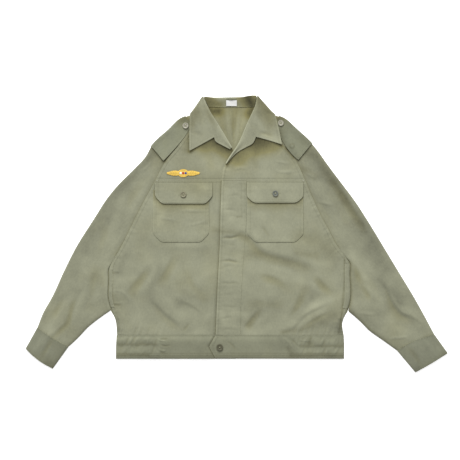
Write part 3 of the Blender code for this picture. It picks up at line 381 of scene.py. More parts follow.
# Puckers across the fly, where it is buttoned and tacked: depth in millimetres, the rest in pixels
Pucker = namedtuple("Pucker", "row depth start end tilt bow")
FLY_PUCKERS = [
    Pucker(188.0, 0.3, 223, 238, 0.5, -0.4), Pucker(195.5, 0.45, 226, 243, -0.6, 0.5),
    Pucker(210.0, 0.6, 222, 238, 0.8, 0.6), Pucker(216.5, 0.4, 228, 244, -0.4, -0.5),
    Pucker(237.8, 1.6, 219, 242, -1.2, -0.6), Pucker(245.0, 0.4, 224, 238, 0.7, 0.4),
    Pucker(261.3, 1.3, 220, 241, 1.1, 0.5), Pucker(266.5, 0.4, 222, 234, -0.5, 0.4),
    Pucker(283.3, 0.7, 218, 242, 0.2, 0.3), Pucker(294.8, 0.35, 220, 236, -0.6, -0.4),
    Pucker(307.0, 0.45, 220, 240, 0.4, -0.5), Pucker(318.2, 0.65, 218, 234, -1.0, 0.5),
    Pucker(329.4, 0.5, 220, 240, 0.5, 0.8),
]
SLEEVE_FOLDS = {
    "left": [
        Fold(-1.0, 14, 12, [(150, 172), (134, 194), (118, 222)]),
        Fold(1.4, 16, 14, [(126, 198), (104, 230), (86, 262)]),
        Fold(-1.4, 12, 14, [(114, 212), (104, 233), (94, 256)]),
        Fold(-1.0, 12, 12, [(98, 262), (92, 284), (88, 306)]),
        Fold(-1.7, 9, 7, [(80, 290), (72.5, 305), (67.5, 323), (55, 336), (44, 350)]),
        Fold(1.5, 12, 10, [(92, 282), (79, 306), (70, 330)]),
        Fold(-1.1, 8, 8, [(66, 290), (60, 304), (50, 322)]),
        Fold(1.0, 10, 10, [(76, 264), (64, 292), (54, 318)]),
        Fold(0.6, 5, 4, [(152, 160), (146, 168), (140, 172)]),
    ],
    "right": [
        Fold(-2.0, 8, 13, [(318, 165), (336.5, 187), (353, 212), (364, 229), (374, 248)]),
        Fold(1.2, 12, 14, [(312, 182), (330, 208), (346, 238)]),
        Fold(0.8, 6, 3, [(304, 171.5), (310, 175.5), (318, 180)]),
        Fold(0.9, 6, 3, [(315, 200), (324, 203.5), (336, 205.5)]),
        Fold(-1.3, 7, 9, [(350, 260), (357, 274), (363, 288)]),
        Fold(2.2, 16, 5, [(376, 272), (387.5, 286.5), (395.5, 303), (402.5, 311.5), (413, 316), (430, 330)]),
        Fold(-1.2, 5, 14, [(374, 276), (384.5, 289), (392.5, 306.5), (400, 315.5), (411, 320.5), (426, 334)]),
        Fold(-1.2, 6, 8, [(360, 284), (366, 292), (372, 304)]),
        Fold(0.8, 6, 4, [(356, 312.5), (367, 314), (380, 315)]),
        Fold(1.1, 12, 12, [(364, 258), (378, 280), (392, 318)]),
        Fold(0.7, 5, 3, [(400, 286), (405, 288.5), (412, 291)]),
        Fold(0.7, 5, 4, [(384, 339), (398, 338), (414, 336.5)]),
    ],
}
CUFF_FOLDS = {
    "left": [
        Fold(-1.4, 6, 9, [(56, 334), (49, 345), (38, 364)]),
        Fold(0.9, 7, 7, [(44, 334), (38, 346), (30, 358)]),
    ],
    "right": [
        Fold(-0.9, 6, 8, [(404, 344), (414, 354), (424, 372)]),
        Fold(0.8, 7, 6, [(420, 336), (430, 348), (438, 362)]),
    ],
}
# Straight rungs across the sleeves: where each meets the body's side and the outer fold, in pixels
RUNGS = {
    "left": [((206, 102), (206, 102)), ((188, 133), (173, 124)), ((167, 160), (145.5, 156.5)),
             ((140, 210), (110, 194)), ((112, 262), (80, 240)), ((108.1, 285), (67, 265)),
             ((111, 310.2), (56, 287)), ((68.4, 346.9), (37.2, 327.6))],
    "right": [((255, 101), (255, 101)), ((282.4, 145), (295, 128)), ((303.4, 177.5), (322, 157)),
              ((328, 230), (358, 206)), ((345.5, 256.5), (376, 234)), ((350.6, 285), (391, 259)),
              ((348.4, 311.2), (404, 281)), ((397.3, 350.8), (434.5, 334.5))],
}
# Painted light and shade over the cloth, where its soft relief would be shaded or lit, and a few thin darker
# lines
# along stitch rows and tacks: line in pixels, reach in millimetres, strength and brownness.
# First the painted shade where a strap's corner lies over the front and the sleeve alike
CORNER_PAINTED_SHADE = {
    "left": [([(184, 116), (190, 121)], 8, 1.2, 0.5), ([(168.5, 155), (165, 161)], 4, 1.2, 0.3)],
    "right": [([(273, 114), (279, 119)], 8, 1.2, 0.5), ([(286, 148), (294, 157)], 4, 1.6, 0.3)],
}
BODY_PAINTED_SHADING = [
    ([(160, 182), (182, 190), (196, 186)], 26, 0.4, 0.3),
    ([(156, 204), (162, 214), (158, 224)], 12, -0.6, 0), ([(196, 184), (206, 188)], 10, -0.4, 0),
    ([(188, 206), (202, 206.5)], 5, -0.35, 0), ([(190, 235), (210, 228)], 20, -0.28, 0),
    ([(160, 244), (172, 247)], 12, 0.3, 0.3), ([(170, 264), (185, 272), (232, 268)], 32, -0.42, 0),
    ([(119, 270), (126, 254)], 12, 0.6, 0), ([(146, 252), (150, 260)], 12, -0.3, 0),
    ([(112, 298), (134, 296)], 14, 0.35, 0.2), ([(150, 297), (172, 312)], 14, 0.35, 0.1),
    ([(184, 298), (204, 299)], 14, 0.4, 0.2), ([(135, 322), (160, 328)], 22, -0.35, 0),
    ([(185, 315), (222, 315)], 16, -0.28, 0), ([(196, 332), (208, 333)], 10, -0.5, 0),
    ([(250, 332), (280, 326)], 18, -0.5, 0), ([(258, 303), (276, 305)], 18, 0.55, 0.3),
    ([(300, 322), (318, 308), (340, 296)], 14, -0.7, 0), ([(296, 308), (306, 290)], 12, 0.35, 0.1),
    ([(302, 236), (322, 244), (330, 252)], 22, 0.45, 0.2),
    ([(252, 253), (280, 257), (306, 267)], 14, 0.55, 0.15), ([(296, 253), (316, 256)], 10, 0.5, 0.2),
    ([(262, 272), (282, 278), (300, 280)], 14, -0.5, 0), ([(314, 262), (328, 264)], 12, -0.5, 0),
    ([(318, 274), (334, 284)], 14, -0.3, 0), ([(284, 240), (303, 242)], 8, -0.4, 0),
    ([(240, 224), (265, 224), (298, 232)], 26, -0.35, 0), ([(262, 214), (300, 216)], 14, -0.2, 0),
    ([(222, 205), (230, 218)], 14, -0.45, 0), ([(214, 230), (232, 233), (248, 238)], 9, 0.5, 0.2),
    ([(222, 182), (226, 192)], 9, -0.4, 0), ([(208, 158), (214, 166), (226, 170)], 18, -0.4, 0),
    ([(268, 172), (282, 174)], 14, -0.25, 0), ([(318, 322), (338, 328)], 12, 0.5, 0),
    ([(240, 322), (250, 326)], 8, 0.4, 0.1), ([(234, 312), (245, 315)], 8, -0.4, 0),
    ([(341, 320), (341.5, 333)], 7, 0.7, 0), ([(117, 318), (118, 331)], 6, 0.5, 0),
    ([(111, 268), (111.4, 300)], 4, -0.7, 0), ([(118, 280), (134, 278)], 11, -0.4, 0),
    ([(312, 298), (296, 318)], 9, 0.5, 0), ([(283, 332), (292, 330)], 6, 0.6, 0.2),
    ([(298, 331), (313, 326)], 7, 0.6, 0.1), ([(322, 322), (334, 315)], 8, 0.4, 0.1),
    ([(338, 326), (339, 342)], 8, 0.6, 0), ([(249, 323), (272, 306)], 12, 0.35, 0.1),
    ([(180, 303), (200, 305)], 13, 0.35, 0.1), ([(160, 268), (150, 284)], 10, 0.25, 0),
    ([(284, 318), (296, 306)], 8, -0.3, 0), ([(221, 312), (225, 324)], 9, -0.4, 0),
    ([(186, 140), (185, 150)], 8, 0.5, 0.3), ([(150, 302), (174, 308)], 14, 0.25, 0),
    ([(188.2, 132), (188.8, 146)], 5, 0.8, 0.3), ([(157, 178.5), (220, 178.5)], 2.2, 0.4, 0),
    ([(222, 178.5), (306, 178.5)], 2.2, 0.35, 0), ([(237, 217), (241, 216.6)], 2.4, 0.6, 0.2),
    ([(113.4, 272.4), (118, 272.6)], 2.6, 0.5, 0.3), ([(114, 304.2), (119, 304)], 4.0, 0.5, 0.3),
] + CORNER_PAINTED_SHADE["left"] + CORNER_PAINTED_SHADE["right"]
# Painted light and shade on the waistband: darker along its rows, hem and creases, paler between them
BAND_PAINTED_SHADING = [
    ([(165, 347), (190, 346)], 14, 0.3, 0), ([(218, 352), (226, 352)], 8, -0.2, 0),
    ([(118, 343), (156, 343)], 5, 0.3, 0.1), ([(120, 349), (156, 350)], 8, -0.3, 0),
    ([(119, 354.8), (148, 355)], 4, 0.6, 0.2), ([(150, 358.6), (236, 358.6)], 4, 0.8, 0.1),
    ([(118, 358.6), (150, 358.6)], 4, 0.4, 0), ([(302, 344.6), (343, 345)], 5, 0.2, 0.1),
    ([(304, 351), (340, 350.5)], 8, -0.35, 0), ([(290, 356), (320, 355), (343, 356)], 5, 0.6, 0.15),
    ([(236, 358.6), (343, 358.8)], 4, 0.8, 0.1), ([(309, 343), (311, 338)], 4, 0.7, 0.2),
    ([(280, 338), (284, 344)], 12, 0.3, 0), ([(288, 348), (292, 353)], 6, 0.6, 0.1),
    ([(161, 339), (166, 338.8)], 3, 0.6, 0.2), ([(161, 352), (164, 353)], 3, 0.5, 0.2),
    ([(162, 340.8), (166, 341)], 3, -0.5, 0), ([(296, 336), (322, 337)], 8, -0.2, 0),
    ([(116, 338), (211, 338)], 7, -0.7, 0), ([(214, 338), (285, 338)], 6, -0.5, 0),
    ([(312, 340), (332, 340)], 6, -0.5, 0),
]
# Painted shade along the sleeves' outer folds and troughs, and painted light on their ridges
SLEEVE_PAINTED_SHADING = {
    "left": [
        ([(152, 150), (134, 171), (108, 199), (96, 218), (76, 252)], 20, 0.5, 0),
        ([(114, 211), (108, 219)], 12, 0.8, 0), ([(124, 214), (119, 232)], 13, 0.45, 0),
        ([(150, 158), (134, 176), (114, 196)], 12, 0.5, 0), ([(104, 226), (86, 250)], 14, 0.4, 0),
        ([(72, 268), (62, 292), (78, 292)], 20, 0.35, 0), ([(66, 302), (50, 326)], 12, -0.4, 0),
        ([(50, 332), (43, 340)], 12, -0.35, 0), ([(84, 272), (94, 268)], 12, -0.25, 0),
        ([(94, 300), (98, 294)], 8, -0.3, 0), ([(103, 274), (110, 296)], 9, -0.45, 0),
        ([(109, 313), (88, 329), (70, 347)], 9, 0.9, 0.1),
    ],
    "right": [
        ([(312, 154), (328, 175), (342, 194)], 18, 0.9, 0.05),
        ([(317, 157), (325, 168), (336, 183)], 10, 0.6, 0.2), ([(302, 168), (314, 177)], 10, 0.6, 0.3),
        ([(318, 176), (330, 183)], 9, 0.4, 0.1), ([(346, 202), (356, 214)], 12, 0.5, 0),
        ([(360, 222), (372, 240), (386, 268)], 19, 0.9, 0), ([(320, 200), (336, 214)], 12, 0.4, 0),
        ([(370, 252), (376, 264)], 12, 0.4, 0), ([(380, 280), (392, 292), (400, 304)], 12, 0.8, 0),
        ([(372, 310), (382, 317)], 10, 0.35, 0), ([(352, 256), (358, 266), (366, 278)], 11, -0.6, 0),
        ([(364, 316), (376, 328)], 10, 0.5, 0), ([(368, 288), (380, 298)], 8, -0.35, 0),
        ([(388, 320), (404, 332)], 14, -0.45, 0), ([(350, 298), (354, 304)], 8, -0.4, 0),
        ([(412, 322), (418, 330)], 10, 0.3, 0), ([(350, 313), (368, 330), (394, 350)], 9, 1.3, 0.1),
        ([(312, 205), (322, 218)], 6, -0.3, 0),
    ],
}
# Painted shade towards the cuffs' ends, and painted light further up
CUFF_PAINTED_SHADING = {
    "left": [([(48, 363), (56, 366), (66, 352)], 18, 0.75, 0.15), ([(28, 350), (36, 346)], 14, -0.2, 0)],
    "right": [
        ([(412, 372), (417, 369)], 14, 0.7, 0), ([(404, 345), (430, 344)], 16, -0.3, 0),
        ([(440, 350), (444, 348)], 12, -0.3, 0),
    ],
}
# Painted shade at the top of the leaves, and painted light lower down
LEAF_PAINTED_SHADING = {
    "left": [([(196, 112), (194, 124)], 16, 0.85, 0.25), ([(200, 128), (210, 138)], 18, -0.25, 0)],
    "right": [
        ([(259, 100), (264, 112), (270, 121)], 18, 0.85, 0.3), ([(262, 130), (272, 134)], 14, -0.4, 0),
        ([(263, 137.5), (280, 142)], 8, -0.5, 0),
    ],
}
# Painted brown shade on the yokes below the collar's leaves and lapels
COLLAR_PAINTED_SHADE = {
    "left": [([(204, 144), (214, 138.5)], 16, 1.5, 1.0), ([(216, 143), (228, 150.5)], 14, 1.7, 1.0)],
    "right": [
        ([(258, 140), (264, 142)], 22, 1.5, 1.0), ([(257, 142), (247, 149), (238, 157)], 20, 1.25, 1.0),
        ([(266, 142), (275, 145)], 13, 0.7, 0.9),
    ],
}
# Painted shade on the neck band, darkest at its ends under the leaves
NECK_PAINTED_SHADE = [
    ([(208, 106.5), (229, 107), (254, 106.5)], 26, 0.4, 0.4), ([(204, 95), (211, 107)], 13, 1.4, 0.8),
    ([(246, 94), (253, 107)], 17, 2.2, 0.8), ([(214, 104), (220, 105)], 8, 0.5, 0.8),
]
# Painted shade inside the neck, darkest at its top corners, with painted light near the right roll
INSIDE_PAINTED_SHADING = [
    ([(208, 106.5), (229, 107), (254, 106.5)], 16, 0.35, 0.4),
    ([(208.5, 106), (212, 111), (219, 111)], 10, 1.5, 0.9), ([(254, 106), (249.5, 114)], 10, 1.5, 0.9),
    ([(236, 108), (234, 126)], 12, 0.4, 0.5), ([(229, 128), (233, 143)], 12, 0.15, 0.1),
    ([(244, 118), (238, 136)], 9, -0.5, 0), ([(222, 110), (226, 124)], 16, 0.25, 0.1),
]
BACK_FOLDS = [
    Fold(1.1, 7, 6, [(226, 104), (228, 122), (232, 150)]),
    Fold(-0.8, 3, 3, [(233, 106), (233, 124), (234, 152)]),
    Fold(1.1, 6, 5, [(240, 106), (238, 124), (236, 150)]),
    Fold(-0.8, 6, 6, [(216, 108), (221, 122), (228, 140)]),
]
BAND_FOLDS = [
    Fold(0.8, 3, 2.5, [(156, 338), (162, 341), (168, 340)]),
    Fold(-0.8, 2.5, 3, [(158, 343), (164, 346), (172, 345)]),
    Fold(0.8, 3, 2.5, [(157, 348), (163, 351), (168, 350)]),
    Fold(0.9, 3, 3, [(284, 337), (290, 344), (294, 352)]),
    Fold(-0.9, 3, 3, [(289, 337), (295, 343), (300, 349)]),
    Fold(0.4, 3, 2.5, [(296, 339), (305, 341), (312, 341)]),
    Fold(-0.7, 3, 4, [(226, 340), (233, 346), (238, 353)]),
]
LEAF_FOLDS = [
    Fold(-1.1, 8, 9, [(204, 99), (210, 116), (220, 136)]),
    Fold(0.9, 9, 8, [(196, 112), (197, 126), (200, 142)]),
    Fold(-0.6, 6, 6, [(190, 132), (198, 134), (206, 138)]),
    Fold(-1.1, 8, 8, [(258, 98), (266, 108), (275, 122)]),
    Fold(1.0, 8, 8, [(252, 112), (258, 124), (266, 136)]),
    Fold(-0.8, 6, 6, [(256, 134), (264, 134), (276, 138)]),
]


# Lines and distances in the plan


def plan(points):
    """Places in metres, from pixels of the photograph."""
    points = np.asarray(points, float).reshape(-1, 2)
    return (points - MIDDLE) * (PIXEL, -PIXEL)


def pixels(xy):
    """Pixels of the photograph, from places in metres."""
    return xy / (PIXEL, -PIXEL) + MIDDLE


def run(line):
    """Distance along a line at each of its points."""
    steps = np.linalg.norm(np.diff(line, axis=0), axis=1)
    return np.concatenate([[0.0], np.cumsum(steps)])


def smooth(points, steps=LINE_STEPS):
    """A smooth line through the points, as many short steps."""
    p = plan(points)
    s = run(p)
    slope = np.gradient(p, s, axis=0)
    t = np.linspace(0, 1, steps, endpoint=False)[:, None]
    rows = []
    for i in range(len(p) - 1):
        h = s[i + 1] - s[i]
        rows.append((1 + 2 * t) * (1 - t) ** 2 * p[i] + t * (1 - t) ** 2 * h * slope[i]
                    + t * t * (3 - 2 * t) * p[i + 1] + t * t * (t - 1) * h * slope[i + 1])
    return np.concatenate(rows + [p[-1:]])


def smoothed(lines):
    """The smooth line of each side."""
    return {side: smooth(points) for side, points in lines.items()}


def joined(*lines):
    """Lines that meet end to end, as one."""
    return np.concatenate([lines[0]] + [line[1:] for line in lines[1:]])


def straight(start, end, points=9):
    return np.linspace(start, end, points)


def read_off(t, marks, rows):
    """Rows of x and y read at t, where the marks are what t is at each row."""
    return np.stack([np.interp(t, marks, rows[:, k]) for k in range(2)], axis=-1)


def along(line, t):
    """Points at the fractions t of a line's length."""
    s = run(line)
    return read_off(t, s / s[-1], line)


def rows_of(line, start, end):
    """The part of a line between two pixel rows, in that order."""
    y = pixels(line)[:, 1]
    if y[0] > y[-1]:
        line = line[::-1]
        y = y[::-1]
    s = run(line)
    low, high = np.interp([min(start, end), max(start, end)], y, s / s[-1])
    count = 2 + int(round((high - low) * len(line)))
    part = along(line, np.linspace(low, high, count))
    return part if start < end else part[::-1]


def moved(line, right):
    """A line moved to the right by so many pixels, the same all along or one value a point."""
    return line + np.stack([np.broadcast_to(right, len(line)) * PIXEL, np.zeros(len(line))], axis=1)


def met(line, spot, share):
    """A line drawn over to a spot, by the share that each of its points takes."""
    end = 0 if share[0] > share[-1] else -1
    return line + (spot - line[end]) * share[:, None]


def normals(line, side):
    """Unit directions square to a line: side 1 is to its left, side -1 to its right."""
    step = np.gradient(line, axis=0)
    step /= np.linalg.norm(step, axis=1)[:, None]
    return side * np.stack([-step[:, 1], step[:, 0]], axis=1)


def patch(bottom, top, left, right):
    """Places inside four edges: bottom and top run to the right, left and right run upwards."""

    def place(u, v):
        b, t = along(bottom, u), along(top, u)
        a, c = along(left, v), along(right, v)
        u = u[:, None]
        v = v[:, None]
        corners = ((1 - u) * (1 - v) * bottom[0] + u * (1 - v) * bottom[-1]
                   + (1 - u) * v * top[0] + u * v * top[-1])
        return (1 - v) * b + v * t + (1 - u) * a + u * c - corners

    return place


def between(left, right):
    """Places between two lines that run upwards, with straight ends."""
    return patch(straight(left[0], right[0]), straight(left[-1], right[-1]), left, right)


def up_from(lower, upper):
    """Places between two lines that run to the right, with straight ends."""
    return patch(lower, upper, straight(lower[0], upper[0]), straight(lower[-1], upper[-1]))


def foot(xy, line):
    """Distance from each place to a line, how far along it from 0 to 1, and its side: 1 left, -1 right."""
    start = line[:-1]
    step = np.diff(line, axis=0)
    square = np.maximum((step ** 2).sum(axis=1), 1e-12)
    t = np.clip(((xy[:, None] - start) * step).sum(axis=2) / square, 0, 1)
    away = xy[:, None] - start - t[..., None] * step
    off = np.linalg.norm(away, axis=2)
    best = off.argmin(axis=1)
    pick = np.arange(len(xy))
    turn = step[best, 0] * away[pick, best, 1] - step[best, 1] * away[pick, best, 0]
    s = run(line)
    reach = s[best] + t[pick, best] * (s[best + 1] - s[best])
    return off[pick, best], reach / s[-1], np.sign(turn)


def away_from(xy, line):
    """Distance from each place to a line."""
    return foot(xy, line)[0]


# Height profiles


def ease(t):
    """From 0 to 1 with soft ends."""
    t = np.clip(t, 0, 1)
    return t * t * (3 - 2 * t)


def ramp(value, start, end):
    """From 0 at start to 1 at end, with soft ends."""
    return ease((value - start) / (end - start))


def rounding(t):
    """A quarter circle, from 0 at an edge to 1 where the cloth lies level."""
    return np.sqrt(1 - (1 - np.clip(t, 0, 1)) ** 2)


def bell(off, width, power=2):
    """1 where off is 0, fading away over the width."""
    return np.exp(-((off / width) ** power))


def folded(xy, folds):
    """Height of ridges and troughs: highest mid way, and fading at both ends."""
    z = np.zeros(len(xy))
    for fold in folds:
        line = smooth(fold.points, FOLD_STEPS)
        left, right = fold.left * FOLD_SPREAD * MM, fold.right * FOLD_SPREAD * MM
        wide = max(left, right)
        near = ((xy > line.min(axis=0) - wide) & (xy < line.max(axis=0) + wide)).all(axis=1)
        if not near.any():
            continue
        off, t, side = foot(xy[near], line)
        bump = (1 + np.cos(math.pi * np.clip(off / np.where(side > 0, left, right), 0, 1))) / 2
        z[near] += fold.height * FOLD_LIFT * MM * bump * ease(np.minimum(t, 1 - t) / FOLD_FADE)
    return z


def unevenness(xy, size, seed):
    """Smooth random heights from -1 to 1, with hollows about as wide as size."""
    return np.array([noise.noise(Vector((x / size, y / size, seed))) for x, y in xy])


def slack(xy, seed):
    """The hollows and swellings of washed cloth lying loose."""
    return sum(height * MM * unevenness(xy, size, seed + more) for height, size, more in SLACK)


def neck_lift(xy):
    """The rise over the collar's back fall, which lies under the neck."""
    return NECK_LIFT * ramp(pixels(xy)[:, 1], *NECK_LIFT_ROWS)


def past_armpit(row):
    """From 0 above the armpit's pixel rows to 1 below them."""
    return ramp(row, *ARMPIT_ROWS)


def pucker(s, seed):
    """Uneven ripples along a seam, from -1 to 1, s in metres."""
    slow, fast = 2 * math.pi * s / (31 * MM) + seed, 2 * math.pi * s / (12.5 * MM)
    return 0.55 * np.sin(fast + 1.6 * np.sin(slow)) + 0.45 * np.sin(1.9 * slow + seed)


def relief(xy, sewn):
    """What sewing does to the cloth near its edges: rolled folds, stitch lines and puckers."""
    z = np.zeros(len(xy))
    for number, seam in enumerate(sewn):
        off, t, _ = foot(xy, seam.line)
        inside = off - seam.rows[-1]
        z += FELL_RISE * (1 - ease(inside / FELL_EDGE))
        z -= seam.roll * EDGE_ROLL * (1 - rounding(off / EDGE_ROLL_WIDTH))
        z += seam.pucker * MM * pucker(t * run(seam.line)[-1], 1.7 * number) * bell(inside, PUCKER_REACH)
        for row in seam.rows:
            z -= STITCH_DEPTH * bell(off - row, STITCH_WIDTH)
    return z


# Main lines of the cut
SEAM, SIDE_LINE, OUTER_LINE = smoothed(RAGLAN), smoothed(SIDE), smoothed(OUTER)
ARMPIT_LINE, UNDERARM_LINE, CUFF_LINE = smoothed(ARMPIT_EDGE), smoothed(UNDERARM), smoothed(CUFF_SEAM)
UNDER_LINE = {side: joined(ARMPIT_LINE[side], UNDERARM_LINE[side]) for side in UNDERARM}
FLY_LINE = joined(smooth(FLY_EDGE), smooth(NECK_EDGE["right"]))
TURN = {"left": 1, "right": -1}


def lapped_seam(side, lap, apart):
    """The raglan line moved towards the chest by lap, and by apart near the armpit."""
    line = SEAM[side]
    low = past_armpit(pixels(line)[:, 1])
    return moved(line, TURN[side] * (lap * (1 - low) + apart * low))


BODY_SEAM = {side: lapped_seam(side, -LAP, SIDE_GAP) for side in SEAM}
SLEEVE_SEAM = {side: lapped_seam(side, LAP, -SIDE_GAP) for side in SEAM}
BACK_SEAM = {side: lapped_seam(side, *BACK_INSET) for side in SEAM}


# Surfaces that several pieces share


def side_reach(xy, side):
    """Distance in from the body's side edge, at the same height on the garment."""
    line = SIDE_LINE[side]
    return TURN[side] * (xy[:, 0] - np.interp(-xy[:, 1], -line[:, 1], line[:, 0]))


def elastic_pull(x, side, outer, inner):
    """From 0 to 1 at the pixel columns that elastic draws in, fading over so many pixels at each end."""
    start, end = ELASTIC[side]
    if side == "left":
        return ease((x - start) / outer) * ease((end + inner - x) / inner)
    return ease((x - start + inner) / inner) * ease((end - x) / outer)


def hem_gathers(xy, side):
    """Small upright folds that the elastic draws into the cloth above the waistband."""
    x, y = pixels(xy).T
    strength = elastic_pull(x, side, *HEM_GATHER_FADE) * ramp(y, *HEM_GATHER_ROWS)
    return HEM_GATHER * strength * pucker((x + 0.35 * (y - HEM_ROW)) * PIXEL * 1.15, 2.2)


def front_swell(xy, side):
    """How far a front panel's folds lift it above or drop it below its level."""
    row = pixels(xy)[:, 1]
    calm = ramp(row, HEM_ROW, HEM_ROW - HEM_CALM)
    calm *= ease(side_reach(xy, side) / SIDE_ROUND + 1 - past_armpit(row))
    return (folded(xy, BODY_FOLDS) + slack(xy, 3.0)) * calm + hem_gathers(xy, side)


def front_surface(xy, side):
    """Top of a front panel."""
    edge = 1 - rounding(side_reach(xy, side) / SIDE_ROUND)
    drop = (FRONT_TOP - SIDE_EDGE_TOP) * edge * past_armpit(pixels(xy)[:, 1])
    height = FRONT_TOP + neck_lift(xy) - drop + front_swell(xy, side)
    if side == "left":
        before_fly = (np.interp(xy[:, 1], FLY_LINE[:, 1], FLY_LINE[:, 0]) - xy[:, 0]) / PIXEL
        under = ramp(before_fly, *UNDERLAP_RAMP)
        height = height * (1 - under) + (UNDERLAP_TOP + neck_lift(xy)) * under
    return height


def sleeve_edges(xy, side):
    """Distances to a sleeve's folded edges and to its raglan seam."""
    edge = np.minimum(away_from(xy, OUTER_LINE[side]), away_from(xy, UNDER_LINE[side]))
    return edge, away_from(xy, SEAM[side])


def sleeve_swell(xy, side):
    """How far a sleeve's folds lift it above or drop it below its level."""
    edge, seam = sleeve_edges(xy, side)
    calm = ease(edge / (2 * SLEEVE_ROUND)) * ease(seam / CREASE_CALM + 0.25)
    return (folded(xy, SLEEVE_FOLDS[side]) + slack(xy, 21.0)) * calm


def sleeve_surface(xy, side, worn=True):
    """Top of a sleeve pressed flat: rounded at both edges, lower where the front laps it."""
    edge, seam = sleeve_edges(xy, side)
    top = SLEEVE_SEAM_TOP + (SLEEVE_TOP - SLEEVE_SEAM_TOP) * ease(seam / SEAM_SLOPE)
    height = SLEEVE_MIDDLE + (top - SLEEVE_MIDDLE) * rounding(edge / SLEEVE_ROUND) + neck_lift(xy)
    return height + sleeve_swell(xy, side) if worn else height


def sleeve_underside(xy, side):
    """Underside of a sleeve: flat on the surface, rounded up at both edges."""
    edge, _ = sleeve_edges(xy, side)
    return neck_lift(xy) + SLEEVE_MIDDLE * (1 - rounding(edge / SLEEVE_ROUND))


# Grids


def graded(length, step, near=(True, True)):
    """Fractions of a length in steps, close together within 9 mm of the ends named."""
    start = CLOSE_STEPS if near[0] else np.zeros(1)
    end = length - CLOSE_STEPS if near[1] else np.array([length])
    count = max(2, int(round((end.min() - start.max()) / step)))
    marks = np.concatenate([start, np.linspace(start.max(), end.min(), count + 1), end])
    return np.unique(np.round(marks / length, 6))


def even(count):
    return np.linspace(0, 1, count + 1)


def grid_on(place, us, vs):
    """A grid whose points are place(u, v), u and v read from us and vs."""
    bm = bmesh.new()
    columns = len(us) - 1
    rows = len(vs) - 1
    bmesh.ops.create_grid(bm, x_segments=columns, y_segments=rows, size=1)
    spots = np.array([vert.co[:2] for vert in bm.verts])
    i = np.rint((spots[:, 0] + 1) / 2 * columns).astype(int)
    j = np.rint((spots[:, 1] + 1) / 2 * rows).astype(int)
    for vert, point in zip(bm.verts, place(np.asarray(us)[i], np.asarray(vs)[j])):
        vert.co = point
    return bm


def raised(xy, z):
    return np.column_stack([xy, z])


def on_plan(spread, height):
    """Places of a piece whose plan is spread(u, v), and its height at each place height(xy)."""

    def place(u, v):
        xy = spread(u, v)
        return raised(xy, height(xy))

    return place


def turn_outwards(bm, weight=lambda face: face.calc_area()):
    """Turns all faces over where most of them look down, each counted by its weight."""
    bm.normal_update()
    if sum(face.normal.z * weight(face) for face in bm.faces) < 0:
        bmesh.ops.reverse_faces(bm, faces=bm.faces)


def spots_of(mesh):
    """A mesh's points as rows of x, y and z."""
    place = np.empty(len(mesh.vertices) * 3)
    mesh.vertices.foreach_get("co", place)
    return place.reshape(-1, 3)


def lay_weave(mesh, grain):
    """The cloth's own UV map in metres, turned so that the warp runs along the grain."""
    uv = mesh.uv_layers.new(name="UVMap")
    index = np.empty(len(mesh.loops), np.int32)
    mesh.loops.foreach_get("vertex_index", index)
    spots = spots_of(mesh)[index, :2]
    angle = math.radians(grain)
    across = np.array([math.cos(angle), math.sin(angle)])
    up = np.array([-math.sin(angle), math.cos(angle)])
    uv.data.foreach_set("uv", np.column_stack([spots @ across, spots @ up]).ravel().astype(np.float32))


def shades_in(table):
    """Shades of a table, whose lines are in pixels and whose reach is in millimetres."""
    return [Shade(plan(points), reach * MM, amount, warmth) for points, reach, amount, warmth in table]


def mark_cloth(mesh, look):
    """Values at each point: stitch lines, worn edges that also take a painted highlight, height of the folds,
    and painted shade and its brownness.
    """
    xy = spots_of(mesh)[:, :2]
    stitched, worn, shaded, shade_tint, lifted = np.zeros((5, len(xy)))
    for seam in look.sewn:
        off = away_from(xy, seam.line)
        for row in seam.rows:
            stitched = np.maximum(stitched, bell(off - row, STITCH_SHADE))
        worn = np.maximum(worn, bell(off, WORN_LIT_EDGE))
    for shade in look.shades:
        here = shade.amount * (1 - shaded / DEEPEST) * bell(away_from(xy, shade.line), shade.reach, 1.6)
        shaded += here
        shade_tint += shade.warmth * here
    if look.swell:
        lifted = np.clip(look.swell(xy) / SWELL_SPAN, -1, 1)
    for name, values in {"stitched": stitched, "worn": worn, "lifted": lifted, "shaded": shaded,
                         "shade_tint": shade_tint}.items():
        layer = mesh.attributes.new(name, "FLOAT", "POINT")
        layer.data.foreach_set("value", values.astype(np.float32))


def select_only(*pieces):
    bpy.ops.object.select_all(action="DESELECT")
    for piece in pieces:
        piece.select_set(True)
    bpy.context.view_layer.objects.active = pieces[0]


def placed(name, data):
    """An object in the scene."""
    thing = bpy.data.objects.new(name, data)
    bpy.context.scene.collection.objects.link(thing)
    return thing


def into_piece(name, bm, look, wall, outwards):
    """An object from a grid of cloth, with its weave and seams marked, thickened to a wall."""
    mesh = bpy.data.meshes.new(name)
    bm.to_mesh(mesh)
    bm.free()
    lay_weave(mesh, look.grain)
    mark_cloth(mesh, look)
    mesh.materials.append(look.finish)
    piece = placed(name, mesh)
    solidify = piece.modifiers.new("wall", "SOLIDIFY")
    solidify.thickness = wall
    solidify.offset = 1 if outwards else -1
    select_only(piece)
    bpy.ops.object.modifier_apply(modifier="wall")
    bpy.ops.object.shade_smooth_by_angle(angle=math.radians(50))
    return piece


def sheet(name, place, us, vs, look, wall=WALL, outwards=False):
    """A sheet of cloth whose face looks up."""
    bm = grid_on(place, us, vs)
    turn_outwards(bm)
    return into_piece(name, bm, look, wall, outwards)


